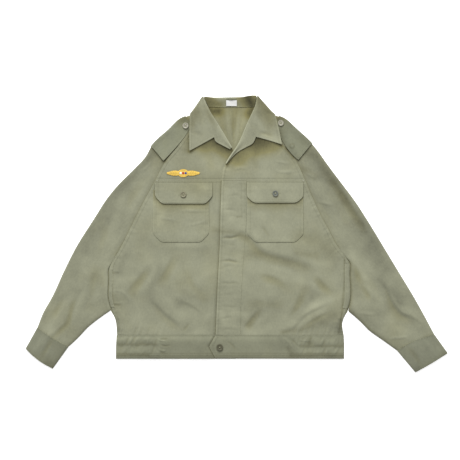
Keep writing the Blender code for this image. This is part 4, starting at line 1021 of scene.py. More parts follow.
def tube(name, place_top, place_bottom, us, over, below, look, wall):
    """A tube pressed flat. Its ring runs over the top from v 0 to 1, and back below."""

    def place(u, w):
        top = w <= 1
        points = place_bottom(u, np.where(top, w, 2 - w))
        points[top] = place_top(u[top], w[top])
        return points

    bm = grid_on(place, us, np.concatenate([over, 2 - below[::-1][1:]]))
    bmesh.ops.remove_doubles(bm, verts=bm.verts, dist=0.01 * MM)
    turn_outwards(bm, lambda face: face.calc_area() * face.calc_center_median().z)
    return into_piece(name, bm, look, wall, False)


# Stitches


def one_stitch():
    """A short thread as long as 2 and as thick as 2: its points and its faces."""
    bm = bmesh.new()
    bmesh.ops.create_uvsphere(bm, u_segments=6, v_segments=3, radius=1)
    bm.verts.index_update()
    points = np.array([(vert.co.z, vert.co.x, vert.co.y) for vert in bm.verts])
    faces = [[vert.index for vert in face.verts] for face in bm.faces]
    bm.free()
    return points, faces


def needle(tree, spot):
    """Where a needle coming straight down meets a piece, and which way the cloth faces there."""
    hit, normal, _, _ = tree.ray_cast(Vector((*spot, NEEDLE_FROM)), Vector((0, 0, -1)))
    return hit, normal


def stitch_places(tree, line, row):
    """Where stitches sit on a piece along one row: centre, direction, the cloth's normal and length."""
    found = {1: [], -1: []}
    for side, places in found.items():
        path = line + normals(line, side) * row
        length = run(path)[-1]
        marks = np.arange(STITCH_STEP / 2, length, STITCH_STEP) / length
        ahead = along(path, np.clip(marks + 0.001, 0, 1)) - along(path, np.clip(marks - 0.001, 0, 1))
        for spot, way in zip(along(path, marks), ahead):
            hit, normal = needle(tree, spot)
            if hit is not None and normal.z > STEEPEST:
                places.append((hit, Vector((*way, 0)), normal, STITCH_LENGTH))
    return max(found.values(), key=len)


def buttonhole_places(tree, hole):
    """Where the short stitches across both edges of a buttonhole sit, as along a row."""
    slot = straight(*plan(hole), 3)
    step = (slot[-1] - slot[0]) / np.linalg.norm(slot[-1] - slot[0])
    across = np.array([-step[1], step[0]])
    places = []
    for spot in along(slot, even(int(run(slot)[-1] / HOLE_STEP))):
        for side in (-1, 1):
            hit, normal = needle(tree, spot + side * across * HOLE_HALF_WIDTH)
            places.append((hit, Vector((*across, 0)), normal, HOLE_STITCH))
    return places


def sew(piece, sewn, holes=()):
    """A piece's stitches as one mesh of short threads lying on the cloth: along its seams, and
    across the edges of its buttonholes, each given by its two ends."""
    tree = BVHTree.FromObject(piece, bpy.context.evaluated_depsgraph_get())
    shape, faces = one_stitch()
    places = [place for seam in sewn for row in seam.rows for place in stitch_places(tree, seam.line, row)]
    places += [place for hole in holes for place in buttonhole_places(tree, hole)]
    points = []
    for hit, way, normal, length in places:
        forward = (way - normal * way.dot(normal)).normalized()
        across = normal.cross(forward)
        axes = np.array([forward * (length / 2), across * THREAD_RADIUS, normal * THREAD_RADIUS])
        points.append(shape @ axes + np.array(hit + normal * (0.2 * THREAD_RADIUS)))
    mesh = bpy.data.meshes.new(piece.name + "_stitches")
    all_faces = [[i + len(shape) * k for i in face] for k in range(len(points)) for face in faces]
    mesh.from_pydata(np.concatenate(points).tolist(), [], all_faces)
    mesh.materials.append(THREAD)
    mesh.shade_smooth()
    stitches = placed(mesh.name, mesh)
    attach(stitches, "root")
    return stitches


def lay(piece, node, sewn=(), with_pieces=(), holes=()):
    """Gives a cloth piece its body and its stitches, and hides its part from model.glb."""
    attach(piece, "root")
    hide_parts(node)
    going_with = list(with_pieces)
    if sewn:
        going_with.append(sew(piece, sewn, holes))


# Finishes


def add_node(tree, kind, values, **settings):
    """A new node. Each value fills an input, or links another node's output to it."""
    node = tree.nodes.new(kind)
    for name, setting in settings.items():
        setattr(node, name, setting)
    return feed(tree, node, values)


def feed(tree, node, values):
    """Gives inputs of a node their values or links."""
    for name, value in values.items():
        if isinstance(value, bpy.types.NodeSocket):
            tree.links.new(value, node.inputs[name])
        else:
            node.inputs[name].default_value = value
    return node


def maths(tree, kind, first, *others):
    """The outcome of one Math node, or of a row of them that take in one more value each."""
    for other in others or (0.0,):
        first = add_node(tree, "ShaderNodeMath", {0: first, 1: other}, operation=kind).outputs[0]
    return first


def added(tree, *values):
    return maths(tree, "ADD", *values)


def times(tree, *values):
    return maths(tree, "MULTIPLY", *values)


def new_group(name, inputs, outputs):
    """An empty node group with its sockets, and the nodes that they show up as."""
    group = bpy.data.node_groups.new(name, "ShaderNodeTree")
    for label, value in inputs.items():
        kind = "NodeSocketColor" if isinstance(value, tuple) else "NodeSocketFloat"
        group.interface.new_socket(name=label, in_out="INPUT", socket_type=kind).default_value = value
    for label in outputs:
        kind = "NodeSocketColor" if label == "Color" else "NodeSocketFloat"
        group.interface.new_socket(name=label, in_out="OUTPUT", socket_type=kind)
    return group, group.nodes.new("NodeGroupInput").outputs, group.nodes.new("NodeGroupOutput")


def weave_group():
    """Twill: slanting ribs of thread, with thick and thin yarns. Puts out height and a thread mask."""
    tree, given, out = new_group("twill_weave", {"Rib": 0.0009}, ["Height", "Yarn"])
    uv = add_node(tree, "ShaderNodeUVMap", {}, uv_map="UVMap").outputs[0]
    across, up, _ = add_node(tree, "ShaderNodeSeparateXYZ", {0: uv}).outputs
    slant = added(tree, across, times(tree, up, 0.55))
    ribs = maths(tree, "SINE", times(tree, maths(tree, "DIVIDE", slant, given["Rib"]), 2 * math.pi))
    picks = maths(tree, "SINE", times(tree, maths(tree, "DIVIDE", up, given["Rib"]), 4 * math.pi))
    stretched = add_node(tree, "ShaderNodeMapping", {"Scale": (1400, 60, 1), "Vector": uv}).outputs[0]
    yarn = add_node(tree, "ShaderNodeTexNoise", {"Scale": 1.0, "Detail": 2.0, "Vector": stretched})
    height = added(tree, times(tree, ribs, 0.5), times(tree, picks, 0.18), yarn.outputs["Fac"])
    feed(tree, out, {"Height": height, "Yarn": yarn.outputs["Fac"]})
    return tree


def dye_and_painted_shade_group():
    """Uneven dye with painted light and shade: broad fading, mottling, darker stitch lines, painted shade in
    hollows and beside edges, and paler edges and ridges as wear and painted highlight.
    """
    tree, given, out = new_group(
        "washed_colour_painted_shade",
        {"Cloth": (0.3, 0.3, 0.2, 1), "Painted shade colour": (0.2, 0.18, 0.09, 1), "Yarn": 0.5, "Mottle": 0.08,
         "Seam shade": 0.3, "Wear and highlight": 0.2, "Fold shade": 0.3, "Edge shade": 0.5},
        ["Color", "Roughness"])
    place = add_node(tree, "ShaderNodeTexCoord", {}).outputs["Object"]

    def patches(scale, detail, strength):
        texture = add_node(tree, "ShaderNodeTexNoise", {"Scale": scale, "Detail": detail, "Vector": place})
        return times(tree, maths(tree, "SUBTRACT", texture.outputs["Fac"], 0.5), strength)

    def marked(name, strength):
        mark = add_node(tree, "ShaderNodeAttribute", {}, attribute_name=name).outputs["Fac"]
        return times(tree, mark, strength)

    small = patches(190.0, 5.0, 0.9)
    yarn = times(tree, maths(tree, "SUBTRACT", given["Yarn"], 0.5), 0.8)
    tone = added(tree, patches(8.0, 3.0, 1.2), patches(36.0, 3.0, 0.8), small, yarn)
    # Painted shade beside edges and in hollows darkens the colour, as do the stitch lines
    darker = added(tree, marked("stitched", given["Seam shade"]),
                   times(tree, marked("shaded", given["Edge shade"]), 0.6))
    # Painted light and shade of the folds: ridges paler, troughs darker. Worn edges are paler, as wear and
    # painted highlight
    fold = marked("lifted", given["Fold shade"])
    level = added(tree, times(tree, tone, given["Mottle"]), marked("worn", given["Wear and highlight"]),
                  times(tree, fold, 0.3), 1.0)
    # Painted shade, and the troughs of folds, turn towards the browner painted shade colour
    brown = maths(tree, "SUBTRACT", marked("shade_tint", 1.9), fold)
    brown = add_node(tree, "ShaderNodeClamp", {"Value": brown})
    tinted = add_node(tree, "ShaderNodeMix", {"Factor": brown.outputs[0], "A": given["Cloth"],
                                              "B": given["Painted shade colour"]}, data_type="RGBA")
    scaled = add_node(tree, "ShaderNodeVectorMath",
                      {0: tinted.outputs["Result"], "Scale": maths(tree, "SUBTRACT", level, darker)},
                      operation="SCALE")
    feed(tree, out, {"Color": scaled.outputs[0], "Roughness": added(tree, small, 0.86)})
    return tree


WEAVE = weave_group()
DYE_AND_PAINTED_SHADE = dye_and_painted_shade_group()


def new_material(name):
    """A material, its node tree and its shader."""
    material = bpy.data.materials.new(name)
    material.use_nodes = True
    return material, material.node_tree, material.node_tree.nodes["Principled BSDF"]


def bumped(tree, height, strength, depth):
    """The normal that a height gives."""
    bump = add_node(tree, "ShaderNodeBump", {"Strength": strength, "Distance": depth, "Height": height})
    return bump.outputs[0]


def cloth_finish(name, colour, mottle=0.34, seam_shade=0.07, wear_and_highlight=0.16, rib=0.0009, depth=0.12, sheen=0.12):
    """Washed cotton twill in one colour, with painted shade and painted highlights from the marks on its
    points.
    """
    material, tree, shader = new_material(name)
    weave = add_node(tree, "ShaderNodeGroup", {}, node_tree=WEAVE)
    feed(tree, weave, {"Rib": rib})
    fade = add_node(tree, "ShaderNodeGroup", {}, node_tree=DYE_AND_PAINTED_SHADE)
    red, green, blue = colour
    # The painted shade colour is the cloth's own, browner
    feed(tree, fade, {"Cloth": (red, green, blue, 1), "Painted shade colour": (red, green * 0.925, blue * 0.64, 1),
                      "Yarn": weave.outputs["Yarn"], "Mottle": mottle, "Seam shade": seam_shade, "Wear and highlight": wear_and_highlight,
                      "Fold shade": FOLD_SHADE, "Edge shade": EDGE_SHADE})
    feed(tree, shader, {"Base Color": fade.outputs["Color"], "Roughness": fade.outputs["Roughness"],
                        "Normal": bumped(tree, weave.outputs["Height"], depth, 0.3 * MM),
                        "Sheen Weight": sheen, "Sheen Roughness": 0.45, "Specular IOR Level": 0.2})
    return material


def shell_finish(name, colour, swirl=0.3):
    """Moulded or shell button, with soft swirls of lighter and darker."""
    material, tree, shader = new_material(name)
    place = add_node(tree, "ShaderNodeTexCoord", {}).outputs["Object"]
    swirls = add_node(tree, "ShaderNodeTexNoise",
                      {"Scale": 420.0, "Detail": 3.0, "Distortion": 1.2, "Vector": place}).outputs["Fac"]
    shell = add_node(tree, "ShaderNodeValToRGB", {"Fac": swirls})
    for stop, position, share in zip(shell.color_ramp.elements, (0.35, 0.65), (1 - swirl, 1 + swirl)):
        stop.color = (*(part * share for part in colour), 1)
        stop.position = position
    feed(tree, shader, {"Base Color": shell.outputs["Color"], "Roughness": 0.6, "Specular IOR Level": 0.25,
                        "Normal": bumped(tree, swirls, 0.08, 0.2 * MM)})
    return material


TWILL = cloth_finish("sage_twill", (0.237, 0.240, 0.167))
# The twill's inside, a little darker and browner: painted shade of the recess inside the neck
SHADED_INSIDE = cloth_finish("twill_inside_shaded", (0.236, 0.234, 0.148))
DOUBLED = cloth_finish("doubled_twill", (0.202, 0.206, 0.142), wear_and_highlight=0.28)
CUFF_CLOTH = cloth_finish("cuff_twill", (0.188, 0.193, 0.137))
STRAP_CLOTH = cloth_finish("strap_twill", (0.200, 0.207, 0.142))
GOLD = cloth_finish("gold_satin_stitch", (0.70, 0.47, 0.09), mottle=0.5, seam_shade=0.45, wear_and_highlight=0.25,
                    rib=0.0006, depth=0.3, sheen=0.4)
LABEL_CLOTH = cloth_finish("white_tape", (0.66, 0.66, 0.64), mottle=0.05, rib=0.0005, depth=0.1)
THREAD = cloth_finish("sewing_thread", (0.25, 0.252, 0.16), mottle=0.3, seam_shade=0.0, wear_and_highlight=0.0,
                      rib=0.0004, depth=0.2)
BEADS = {name: cloth_finish(name + "_satin_stitch", colour, rib=0.0006, depth=0.3) for name, colour in
         {"white": (0.75, 0.75, 0.74), "red": (0.42, 0.03, 0.03), "blue": (0.05, 0.07, 0.25)}.items()}
BEIGE_SHELL = shell_finish("beige_shell", (0.29, 0.28, 0.22))
SAGE_SHELL = shell_finish("sage_shell", (0.20, 0.19, 0.125))
SMOKE_SHELL = shell_finish("smoke_shell", (0.135, 0.145, 0.125))
OLIVE = shell_finish("olive_plastic", (0.092, 0.088, 0.056), 0.25)


# Body panels


def roll_line(side):
    """Where the lapel and the leaf above it roll over, as one line up to the back of the neck."""
    return smooth(LAPEL_ROLL[side] + LEAF_ROLL[side][1:])


def roll_part(side, part):
    """The roll of one lapel or leaf, and the way its cloth faces at each point."""
    line = roll_line(side)
    facing = normals(line, -TURN[side])
    meet = LINE_STEPS * (len(LAPEL_ROLL[side]) - 1)
    cut = slice(None, meet + 1) if part == "lapel" else slice(meet, None)
    return line[cut], facing[cut]


def body_edge(side, seam, start, end):
    """The side and raglan edges of a body panel as one line up the garment."""
    side_line = rows_of(SIDE_LINE[side], start, pixels(SIDE_LINE[side])[0, 1])
    seam_line = rows_of(seam, pixels(seam)[-1, 1], end)
    return joined(side_line, met(seam_line, side_line[-1], np.linspace(1, 0, len(seam_line))))


def back_edge(side):
    """The back's edge, a little out under the sleeve below the armpit, where the side seam turns under."""
    edge = body_edge(side, BACK_SEAM[side], HEM_ROW, BACK_NECK_ROW)
    row = pixels(edge)[:, 1]
    start, end = BACK_BEYOND_ROWS
    return moved(edge, -TURN[side] * BACK_BEYOND * ramp(row, *start) * ramp(row, *end))


def make_back():
    def folds(xy):
        """Folds that show inside the neck. Further down the back lies level."""
        calm = ramp(pixels(xy)[:, 1], *BACK_LEVEL_ROWS)
        return (folded(xy, BACK_FOLDS) + 0.5 * MM * (1 + unevenness(xy, 0.02, 5.0))) * calm

    # Painted shade inside the neck: its folds are read 0.8 mm lower, so all the inside is painted darker and
    # browner
    look = Look(SHADED_INSIDE, (), lambda xy: folds(xy) - 0.8 * MM, shades_in(INSIDE_PAINTED_SHADING))
    place = on_plan(between(back_edge("left"), back_edge("right")),
                    lambda xy: neck_lift(xy) + np.maximum(folds(xy), 0))
    vs = np.concatenate([np.linspace(0, 0.6, 40), np.linspace(0.61, 1, 80)])
    lay(sheet("back_panel", place, even(150), vs, look, outwards=True), "back")


def pocket_shades(side):
    """Painted shade: the thin dark lines under and beside a pocket and round its flap, as they show on the
    front.
    """
    cut = POCKETS[side]
    edge = pocket_shape(cut)[1]
    edge = edge[pixels(edge)[:, 0] > cut.left + cut.corner_x]
    return [Shade(edge, 2.2 * MM, 0.3), Shade(pocket_shape(FLAPS[side])[1], 2.4 * MM, 0.4)]


def make_lower_front(side):
    """A front below the chest seam. The left one runs on under the fly."""
    top = YOKE_SEAM_ROW + SEAM_HALF_GAP
    outer = body_edge(side, BODY_SEAM[side], HEM_ROW, top)
    if side == "left":
        left, right = outer, plan([(UNDERLAP[1], HEM_ROW), (UNDERLAP[0], top)])
        fly = rows_of(FLY_LINE, HEM_ROW, top)
        # Painted shadow beside the fly's edge: a thin dark line and a broad faint one
        by_fly = [Shade(fly, 2.6 * MM, 0.9), Shade(fly, 9 * MM, 0.15)]
        us = graded(0.29, 2.6 * MM, (True, False))
        us = np.unique(np.concatenate([us[us < 0.78], np.linspace(0.78, 0.9, 30), us[us > 0.9]]))
    else:
        left, right = moved(rows_of(smooth(FLY_SEAM), HEM_ROW, top), SEAM_HALF_GAP), outer
        by_fly = [Shade(left, 3 * MM, 0.12)]
        us = graded(0.25, 2.6 * MM)
    sewn = [Sewn(outer, TWO_ROWS, 0.4), Sewn(straight(left[-1], right[-1]), (3.6 * MM,), 0.2, 0.3)]
    # Painted shade beside the pockets, the fly, the side edge and the side strip, with the broad painted
    # shading
    shades = pocket_shades(side) + by_fly + [
        Shade(outer, 1.5 * MM, 0.15),
        Shade(plan(STRIP_LINE[side]), 1.8 * MM, {"left": 0.5, "right": 0.9}[side])] + shades_in(BODY_PAINTED_SHADING)
    look = Look(TWILL, sewn, lambda xy: front_swell(xy, side), shades)
    place = on_plan(between(left, right), lambda xy: front_surface(xy, side) + relief(xy, sewn))
    front = sheet("front_" + side + "_panel", place, us, graded(0.37, 2.6 * MM), look)
    lay(front, "front_" + side, sewn)


def fly_surface(xy):
    """Top of the fly: the right front's, a little higher, puckered across where it is buttoned."""
    x, y = pixels(xy).T
    z = front_surface(xy, "right") + FLY_RISE
    for mark in FLY_PUCKERS:
        t = (x - mark.start) / (mark.end - mark.start)
        reach = ease(t / 0.4) * ease((1 - t) / 0.4) * mark.depth * MM
        across = 2 * t - 1
        off = y - mark.row - mark.tilt * across - mark.bow * across ** 2 - 0.25 * np.sin(x / 1.9 + mark.row)
        z += reach * (0.45 * bell(off + 2.8, 1.9) + 0.2 * bell(off - 2.6, 1.7) - 0.75 * bell(off, 1.1))
    return z


def make_fly():
    top = YOKE_SEAM_ROW + SEAM_HALF_GAP
    edge = rows_of(smooth(FLY_EDGE), HEM_ROW, top)
    seam = moved(rows_of(smooth(FLY_SEAM), HEM_ROW, top), -SEAM_HALF_GAP)
    held = [straight(*plan(row), 40) for row in FLY_ROWS]
    sewn = [Sewn(edge, WIDE_ROW, 0.2), Sewn(seam, ONE_ROW, 0.15, 0.15)]
    sewn += [Sewn(row, ON_LINE, 0.15) for row in held]
    # Painted shade along the rows that hold the fly
    shades = [Shade(row, 2.0 * MM, 0.5, 0) for row in held] + shades_in(BODY_PAINTED_SHADING)
    look = Look(TWILL, sewn, lambda xy: fly_surface(xy) - FRONT_TOP - FLY_RISE, shades)
    place = on_plan(between(edge, seam), lambda xy: fly_surface(xy) + relief(xy, sewn))
    fly = sheet("fly_band", place, graded(0.056, 2.0 * MM), graded(0.37, 1.6 * MM), look)
    lay(fly, "fly_placket", sewn)


def collar_shades(side):
    """Shade on a yoke below the collar's leaf and lapel: a thin dark line, and a broad brown patch."""
    thin = [Shade(smooth(LEAF_LOWER[side][:3]), 5 * MM, 0.8, 0.7),
            Shade(smooth(LAPEL_OUTER[side]), 5 * MM, 0.9, 0.7),
            Shade(smooth(LEAF_OUTER[side][:3]), 4 * MM, 0.6), Shade(BODY_SEAM[side], 1.5 * MM, 0.15)]
    return thin + shades_in(COLLAR_PAINTED_SHADE[side])


def make_yoke(side):
    """A front above the chest seam. The right one carries the top of the fly."""
    low = YOKE_SEAM_ROW - SEAM_HALF_GAP
    neck = smooth(NECK_EDGE[side])
    fade = np.linspace(0, 1, len(neck)) ** 3
    if side == "left":
        edge = rows_of(BODY_SEAM[side], low, NECK_EDGE[side][0][1])
        neck = met(neck, edge[-1], fade[::-1])
        left, right = edge, plan([(UNDERLAP[0], low), NECK_EDGE[side][-1]])
    else:
        edge = rows_of(BODY_SEAM[side], low, NECK_EDGE[side][-1][1])
        neck = met(neck, edge[-1], fade)
        left, right = rows_of(smooth(FLY_EDGE), low, NECK_EDGE[side][0][1]), edge
        left[-1] = neck[0]
    chest = straight(left[0], right[0])
    sewn = [Sewn(edge, TWO_ROWS, 0.25), Sewn(chest, (4.0 * MM,), 0.15, 0.3)]
    shades = collar_shades(side)
    if side == "left":
        # Painted shade round the chest patch
        under_patch = plan([(PATCH_AT[0] + x, PATCH_AT[1]) for x in (-13, 0, 13)])
        shades.append(Shade(under_patch, 9 * MM, 0.25, 0.2))
    else:
        sewn.append(Sewn(left, WIDE_ROW, 0.2))

    def height(xy):
        top = front_surface(xy, side) + relief(xy, sewn)
        if side == "right":
            x, y = pixels(xy).T
            top += FLY_RISE * ease((FLY_SEAM[-1][0] - x) / FLY_RISE_SPAN) * ramp(y, *FLY_RISE_ROWS)
        return top

    look = Look(TWILL, sewn, lambda xy: front_swell(xy, side), shades + shades_in(BODY_PAINTED_SHADING))
    yoke = sheet("yoke_" + side + "_panel", on_plan(patch(chest, neck, left, right), height),
                 graded(0.2, 2.4 * MM, (True, side == "right")), graded(0.19, 2.4 * MM, (True, False)), look)
    lay(yoke, "yoke_" + side, sewn)


# Sleeves and cuffs


def sleeve_edges_long(side):
    """A sleeve's two long edges from the neck to the cuff: along the body, and the outer fold."""
    seam = SLEEVE_SEAM[side][::-1]
    outer = OUTER_LINE[side]
    seam = met(seam, outer[0], np.clip(run(seam) / run(seam)[-1] * 8 - 7, 0, 1))
    armpit = ARMPIT_LINE[side][::-1]
    seam = met(seam, armpit[-1], np.clip(1 - run(seam) / (10 * MM), 0, 1))
    return joined(joined(armpit, seam)[::-1], UNDERARM_LINE[side]), outer


def between_rungs(side):
    """Places across a sleeve: s from the neck to the cuff, v from the body's side to the outer fold."""
    inner, outer = sleeve_edges_long(side)
    ends = np.array([[foot(plan(a), inner)[1][0], foot(plan(b), outer)[1][0]] for a, b in RUNGS[side]])
    ends[0] = 0
    ends[-1] = 1
    marks = ends.mean(axis=1)
    cuff = CUFF_LINE[side]

    def spread(s, v):
        a = along(inner, np.interp(s, marks, ends[:, 0]))
        b = along(outer, np.interp(s, marks, ends[:, 1]))
        v = v[:, None]
        bow = along(cuff, v[:, 0]) - (cuff[0] * (1 - v) + cuff[-1] * v)
        return a * (1 - v) + b * v + bow * ramp(s, 0.88, 1)[:, None]

    return spread


def across_sleeve(count):
    """Steps across a sleeve, close together at its two folded edges."""
    middle = np.linspace(SLEEVE_EDGE_STEPS[-1], 1 - SLEEVE_EDGE_STEPS[-1], count)[1:-1]
    return np.concatenate([SLEEVE_EDGE_STEPS, middle, 1 - SLEEVE_EDGE_STEPS[::-1]])


def make_sleeve(side):
    spread = between_rungs(side)
    sewn = [Sewn(CUFF_LINE[side], (2.0 * MM,), 0.3, 0.3)]

    def place_top(s, v):
        xy = spread(s, v)
        sewing = (relief(xy, sewn) - FELL_RISE) * ease(10 * v) * ease(10 - 10 * v)
        return raised(xy, sleeve_surface(xy, side) + sewing)

    us = np.unique(np.concatenate([np.linspace(0, 0.975, 240), [0.982, 0.988, 0.991, 0.994, 0.997, 1]]))
    strap = smooth(STRAP_FRONT[side])
    strap_end = straight(rows_of(OUTER_LINE[side], *STRAP_ROWS[side])[-1], strap[-1])
    ridge = rows_of(SEAM[side], *RIDGE_ROWS[side])
    # Painted shade beside the raglan seam, along the strap's front edge and end, along the right armpit and
    # the cuff seam
    shades = [Shade(ridge, 3.4 * MM, 0.6, 0.3), Shade(ridge, 12 * MM, 0.15, 0.2),
              Shade(strap, 4 * MM, 0.6), Shade(strap_end, 4 * MM, 0.8), Shade(strap_end, 14 * MM, 0.25),
              Shade(ARMPIT_LINE[side][LINE_STEPS:], 4 * MM, {"left": 0.0, "right": 0.6}[side], 0.3),
              Shade(CUFF_LINE[side], 4 * MM, 0.2)] + shades_in(SLEEVE_PAINTED_SHADING[side] + CORNER_PAINTED_SHADE[side])
    look = Look(TWILL, sewn, lambda xy: sleeve_swell(xy, side), shades, SLEEVE_GRAIN[side])
    place_bottom = on_plan(spread, lambda xy: sleeve_underside(xy, side))
    sleeve = tube("sleeve_" + side + "_tube", place_top, place_bottom, us, across_sleeve(52),
                  across_sleeve(8), look, WALL)
    lay(sleeve, "sleeve_" + side, sewn)


def make_cuff(side):
    seam = CUFF_LINE[side] + np.array(CUFF_SHIFT[side]) * (PIXEL, -PIXEL)
    end = smooth(CUFF_END[side])
    spread = between(seam, end)
    folds = [np.stack([seam[k], end[k]]) for k in (0, -1)]
    sewn = [Sewn(seam, ONE_ROW, 0.2, 0.4), Sewn(end, TWO_ROWS, 0.15)]
    middle = CUFF_TOP / 2

    def inwards(xy):
        """How far in from the cuff's folded edges, to 1 where it lies level."""
        return np.minimum(away_from(xy, folds[0]), away_from(xy, folds[1])) / SLEEVE_ROUND

    def swell(xy):
        return folded(xy, CUFF_FOLDS[side]) + 0.6 * MM * unevenness(xy, 0.03, 8.0)

    def top(xy):
        sewing = (relief(xy, sewn) - FELL_RISE + swell(xy)) * ease(inwards(xy))
        return middle + middle * rounding(inwards(xy)) + sewing

    steps = graded(0.09, 2.2 * MM)
    # Painted shade along the cuff's end
    shades = [Shade(end, 7 * MM, 0.3)] + shades_in(CUFF_PAINTED_SHADING[side])
    cuff = tube("cuff_" + side + "_band", on_plan(spread, top),
                on_plan(spread, lambda xy: middle - middle * rounding(inwards(xy))),
                graded(0.065, 2.2 * MM), steps, steps,
                Look(CUFF_CLOTH, sewn, swell, shades, CUFF_GRAIN[side]), BAND_WALL)
    lay(cuff, "cuff_" + side, sewn)


# Collar


def rolled(name, roll, facing, outer, lower, height, us, vs, look):
    """A leaf whose edge rolls under along the neck. Above u 1 the cloth goes round the roll."""
    inside = roll - facing * ROLL
    bottom = straight(outer[0], inside[0]) if lower is None else np.concatenate([lower[:-1], inside[:1]])
    spread = patch(bottom, straight(outer[-1], inside[-1]), outer, inside)

    def place(u, v):
        flat = np.clip(u, 0, 1)
        turn = np.clip(u - 1, 0, None) * 2 * math.pi
        xy = spread(flat, v)
        out = read_off(v, run(roll) / run(roll)[-1], facing)
        z = height(xy, flat, v) + (relief(xy, look.sewn) - FELL_RISE) * (u <= 1) - ROLL * (1 - np.cos(turn))
        return raised(xy + out * (ROLL * np.sin(turn))[:, None], z)

    return sheet(name, place, us, vs, look)


def rise_to_roll(share, start=LEAF_SLOPE_FROM):
    """Height of a leaf above the front, from its outer edge at 0 to its roll at 1, sloping from start on."""
    return LEAF_REST + (GAP + 2 * ROLL - LEAF_REST) * ramp(share, start, 1)


def make_leaf(side):
    roll, facing = roll_part(side, "leaf")
    outer_edge, lower_edge = smooth(LEAF_OUTER[side][:3]), smooth(LEAF_LOWER[side][:3])
    shoulder = plan(LEAF_OUTER[side][2:])
    fold_starts = 1 - run(shoulder)[-1] / run(plan(LEAF_OUTER[side]))[-1]
    sewn = [Sewn(outer_edge, WIDE_ROW, 0.15), Sewn(lower_edge, WIDE_ROW, 0.15)]

    def swell(xy):
        return folded(xy, LEAF_FOLDS) + 0.6 * MM * unevenness(xy, 0.03, 31.0)

    def height(xy, flat, v):
        level = FRONT_TOP + neck_lift(xy) + rise_to_roll(flat)
        tip = np.linalg.norm(xy - plan(LEAF_OUTER[side][0]), axis=1)
        rise = LEAF_EDGE_RISE * ease(1 - tip / POINT_SPAN)
        over = ease((v - fold_starts) / SHOULDER_FOLD)
        wrap = (level - SIDE_EDGE_TOP) * over * (1 - rounding(flat / FOLD_DEPTH))
        calm = ease(flat / 0.3) * ease((1 - flat) / 0.2) * (1 - over) * ease(v / 0.12)
        return level + rise - wrap + swell(xy) * calm

    us = np.concatenate([graded(0.06, 2.0 * MM, (True, False)), ROLL_TURNS])
    # Painted light along the roll and painted shade along the shoulder fold
    shades = [Shade(roll_line(side), 5 * MM, -0.3, 0), Shade(shoulder, 5 * MM, 0.3)]
    look = Look(TWILL, sewn, swell, shades + shades_in(LEAF_PAINTED_SHADING[side]), -8 * TURN[side])
    leaf = rolled("collar_" + side + "_leaf", roll, facing, joined(outer_edge, shoulder),
                  joined(lower_edge, plan(LEAF_LOWER[side][2:])), height, us,
                  graded(0.13, 2.0 * MM, (True, False)), look)
    lay(leaf, "collar_leaf_" + side, sewn)


def make_lapel(side):
    roll, facing = roll_part(side, "lapel")
    outer = smooth(LAPEL_OUTER[side]) - (0, GORGE_GAP)
    sewn = [Sewn(outer, WIDE_ROW, 0.15)]
    lower = run(plan(LEAF_LOWER[side]))
    notch = lower[2] / lower[3]

    def height(xy, flat, v):
        """The lapel's slope at its lower end, and the leaf's where the two meet beyond the notch."""
        gorge = ramp(v, 0.45, 1)
        level = rise_to_roll(flat, LAPEL_SLOPE_FROM) * (1 - gorge)
        return FRONT_TOP + neck_lift(xy) + level + rise_to_roll(notch + (1 - notch) * flat) * gorge

    us = np.concatenate([graded(0.03, 1.6 * MM, (True, False)), ROLL_TURNS])
    # Painted light along the lapel's roll
    look = Look(TWILL, sewn, None, [Shade(roll_line(side), 10 * MM, -0.7, 0)], 20 * TURN[side])
    lapel = rolled("lapel_" + side + "_fold", roll - (0, GORGE_GAP), facing, outer, None, height, us,
                   even(40), look)
    lay(lapel, "lapel_" + side, sewn)


def make_neck_band(loop):
    seam = smooth(NECK_SEAM)
    spread = up_from(seam, smooth(NECK_ROLL) - (0, ROLL))
    sewn = [Sewn(seam, ONE_ROW, 0.2)]

    def place(u, v):
        """Above v 1 the cloth goes round the roll at the collar's top."""
        flat = np.clip(v, 0, 1)
        turn = np.clip(v - 1, 0, None) * 2 * math.pi
        xy = spread(u, flat)
        z = BAND_SEAM_TOP + (BAND_ROLL_TOP - BAND_SEAM_TOP) * ease(flat) - ROLL * (1 - np.cos(turn))
        z += (relief(xy, sewn) - FELL_RISE) * (v <= 1)
        xy[:, 1] += ROLL * np.sin(turn)
        return raised(xy, z)

    vs = np.concatenate([graded(0.024, 1.6 * MM, (True, False)), ROLL_TURNS])
    # Only the band's painted light and shade read this unevenness: the band itself is not raised by it
    look = Look(TWILL, sewn, lambda xy: 1.6 * MM * unevenness(xy, 0.02, 71.0), shades_in(NECK_PAINTED_SHADE))
    lay(sheet("neck_stand", place, even(60), vs, look), "neck_band", sewn, [loop])


def on_floor(xy):
    return np.zeros(len(xy))


def make_fall():
    lower = smooth(FALL_LOWER)
    place = on_plan(up_from(lower, smooth(FALL_UPPER)), on_floor)
    look = Look(TWILL, [Sewn(lower, WIDE_ROW, 0.0)])
    fall = sheet("collar_back_fall", place, even(60), even(20), look, outwards=True)
    lay(fall, "collar_fall")


# Shoulder straps


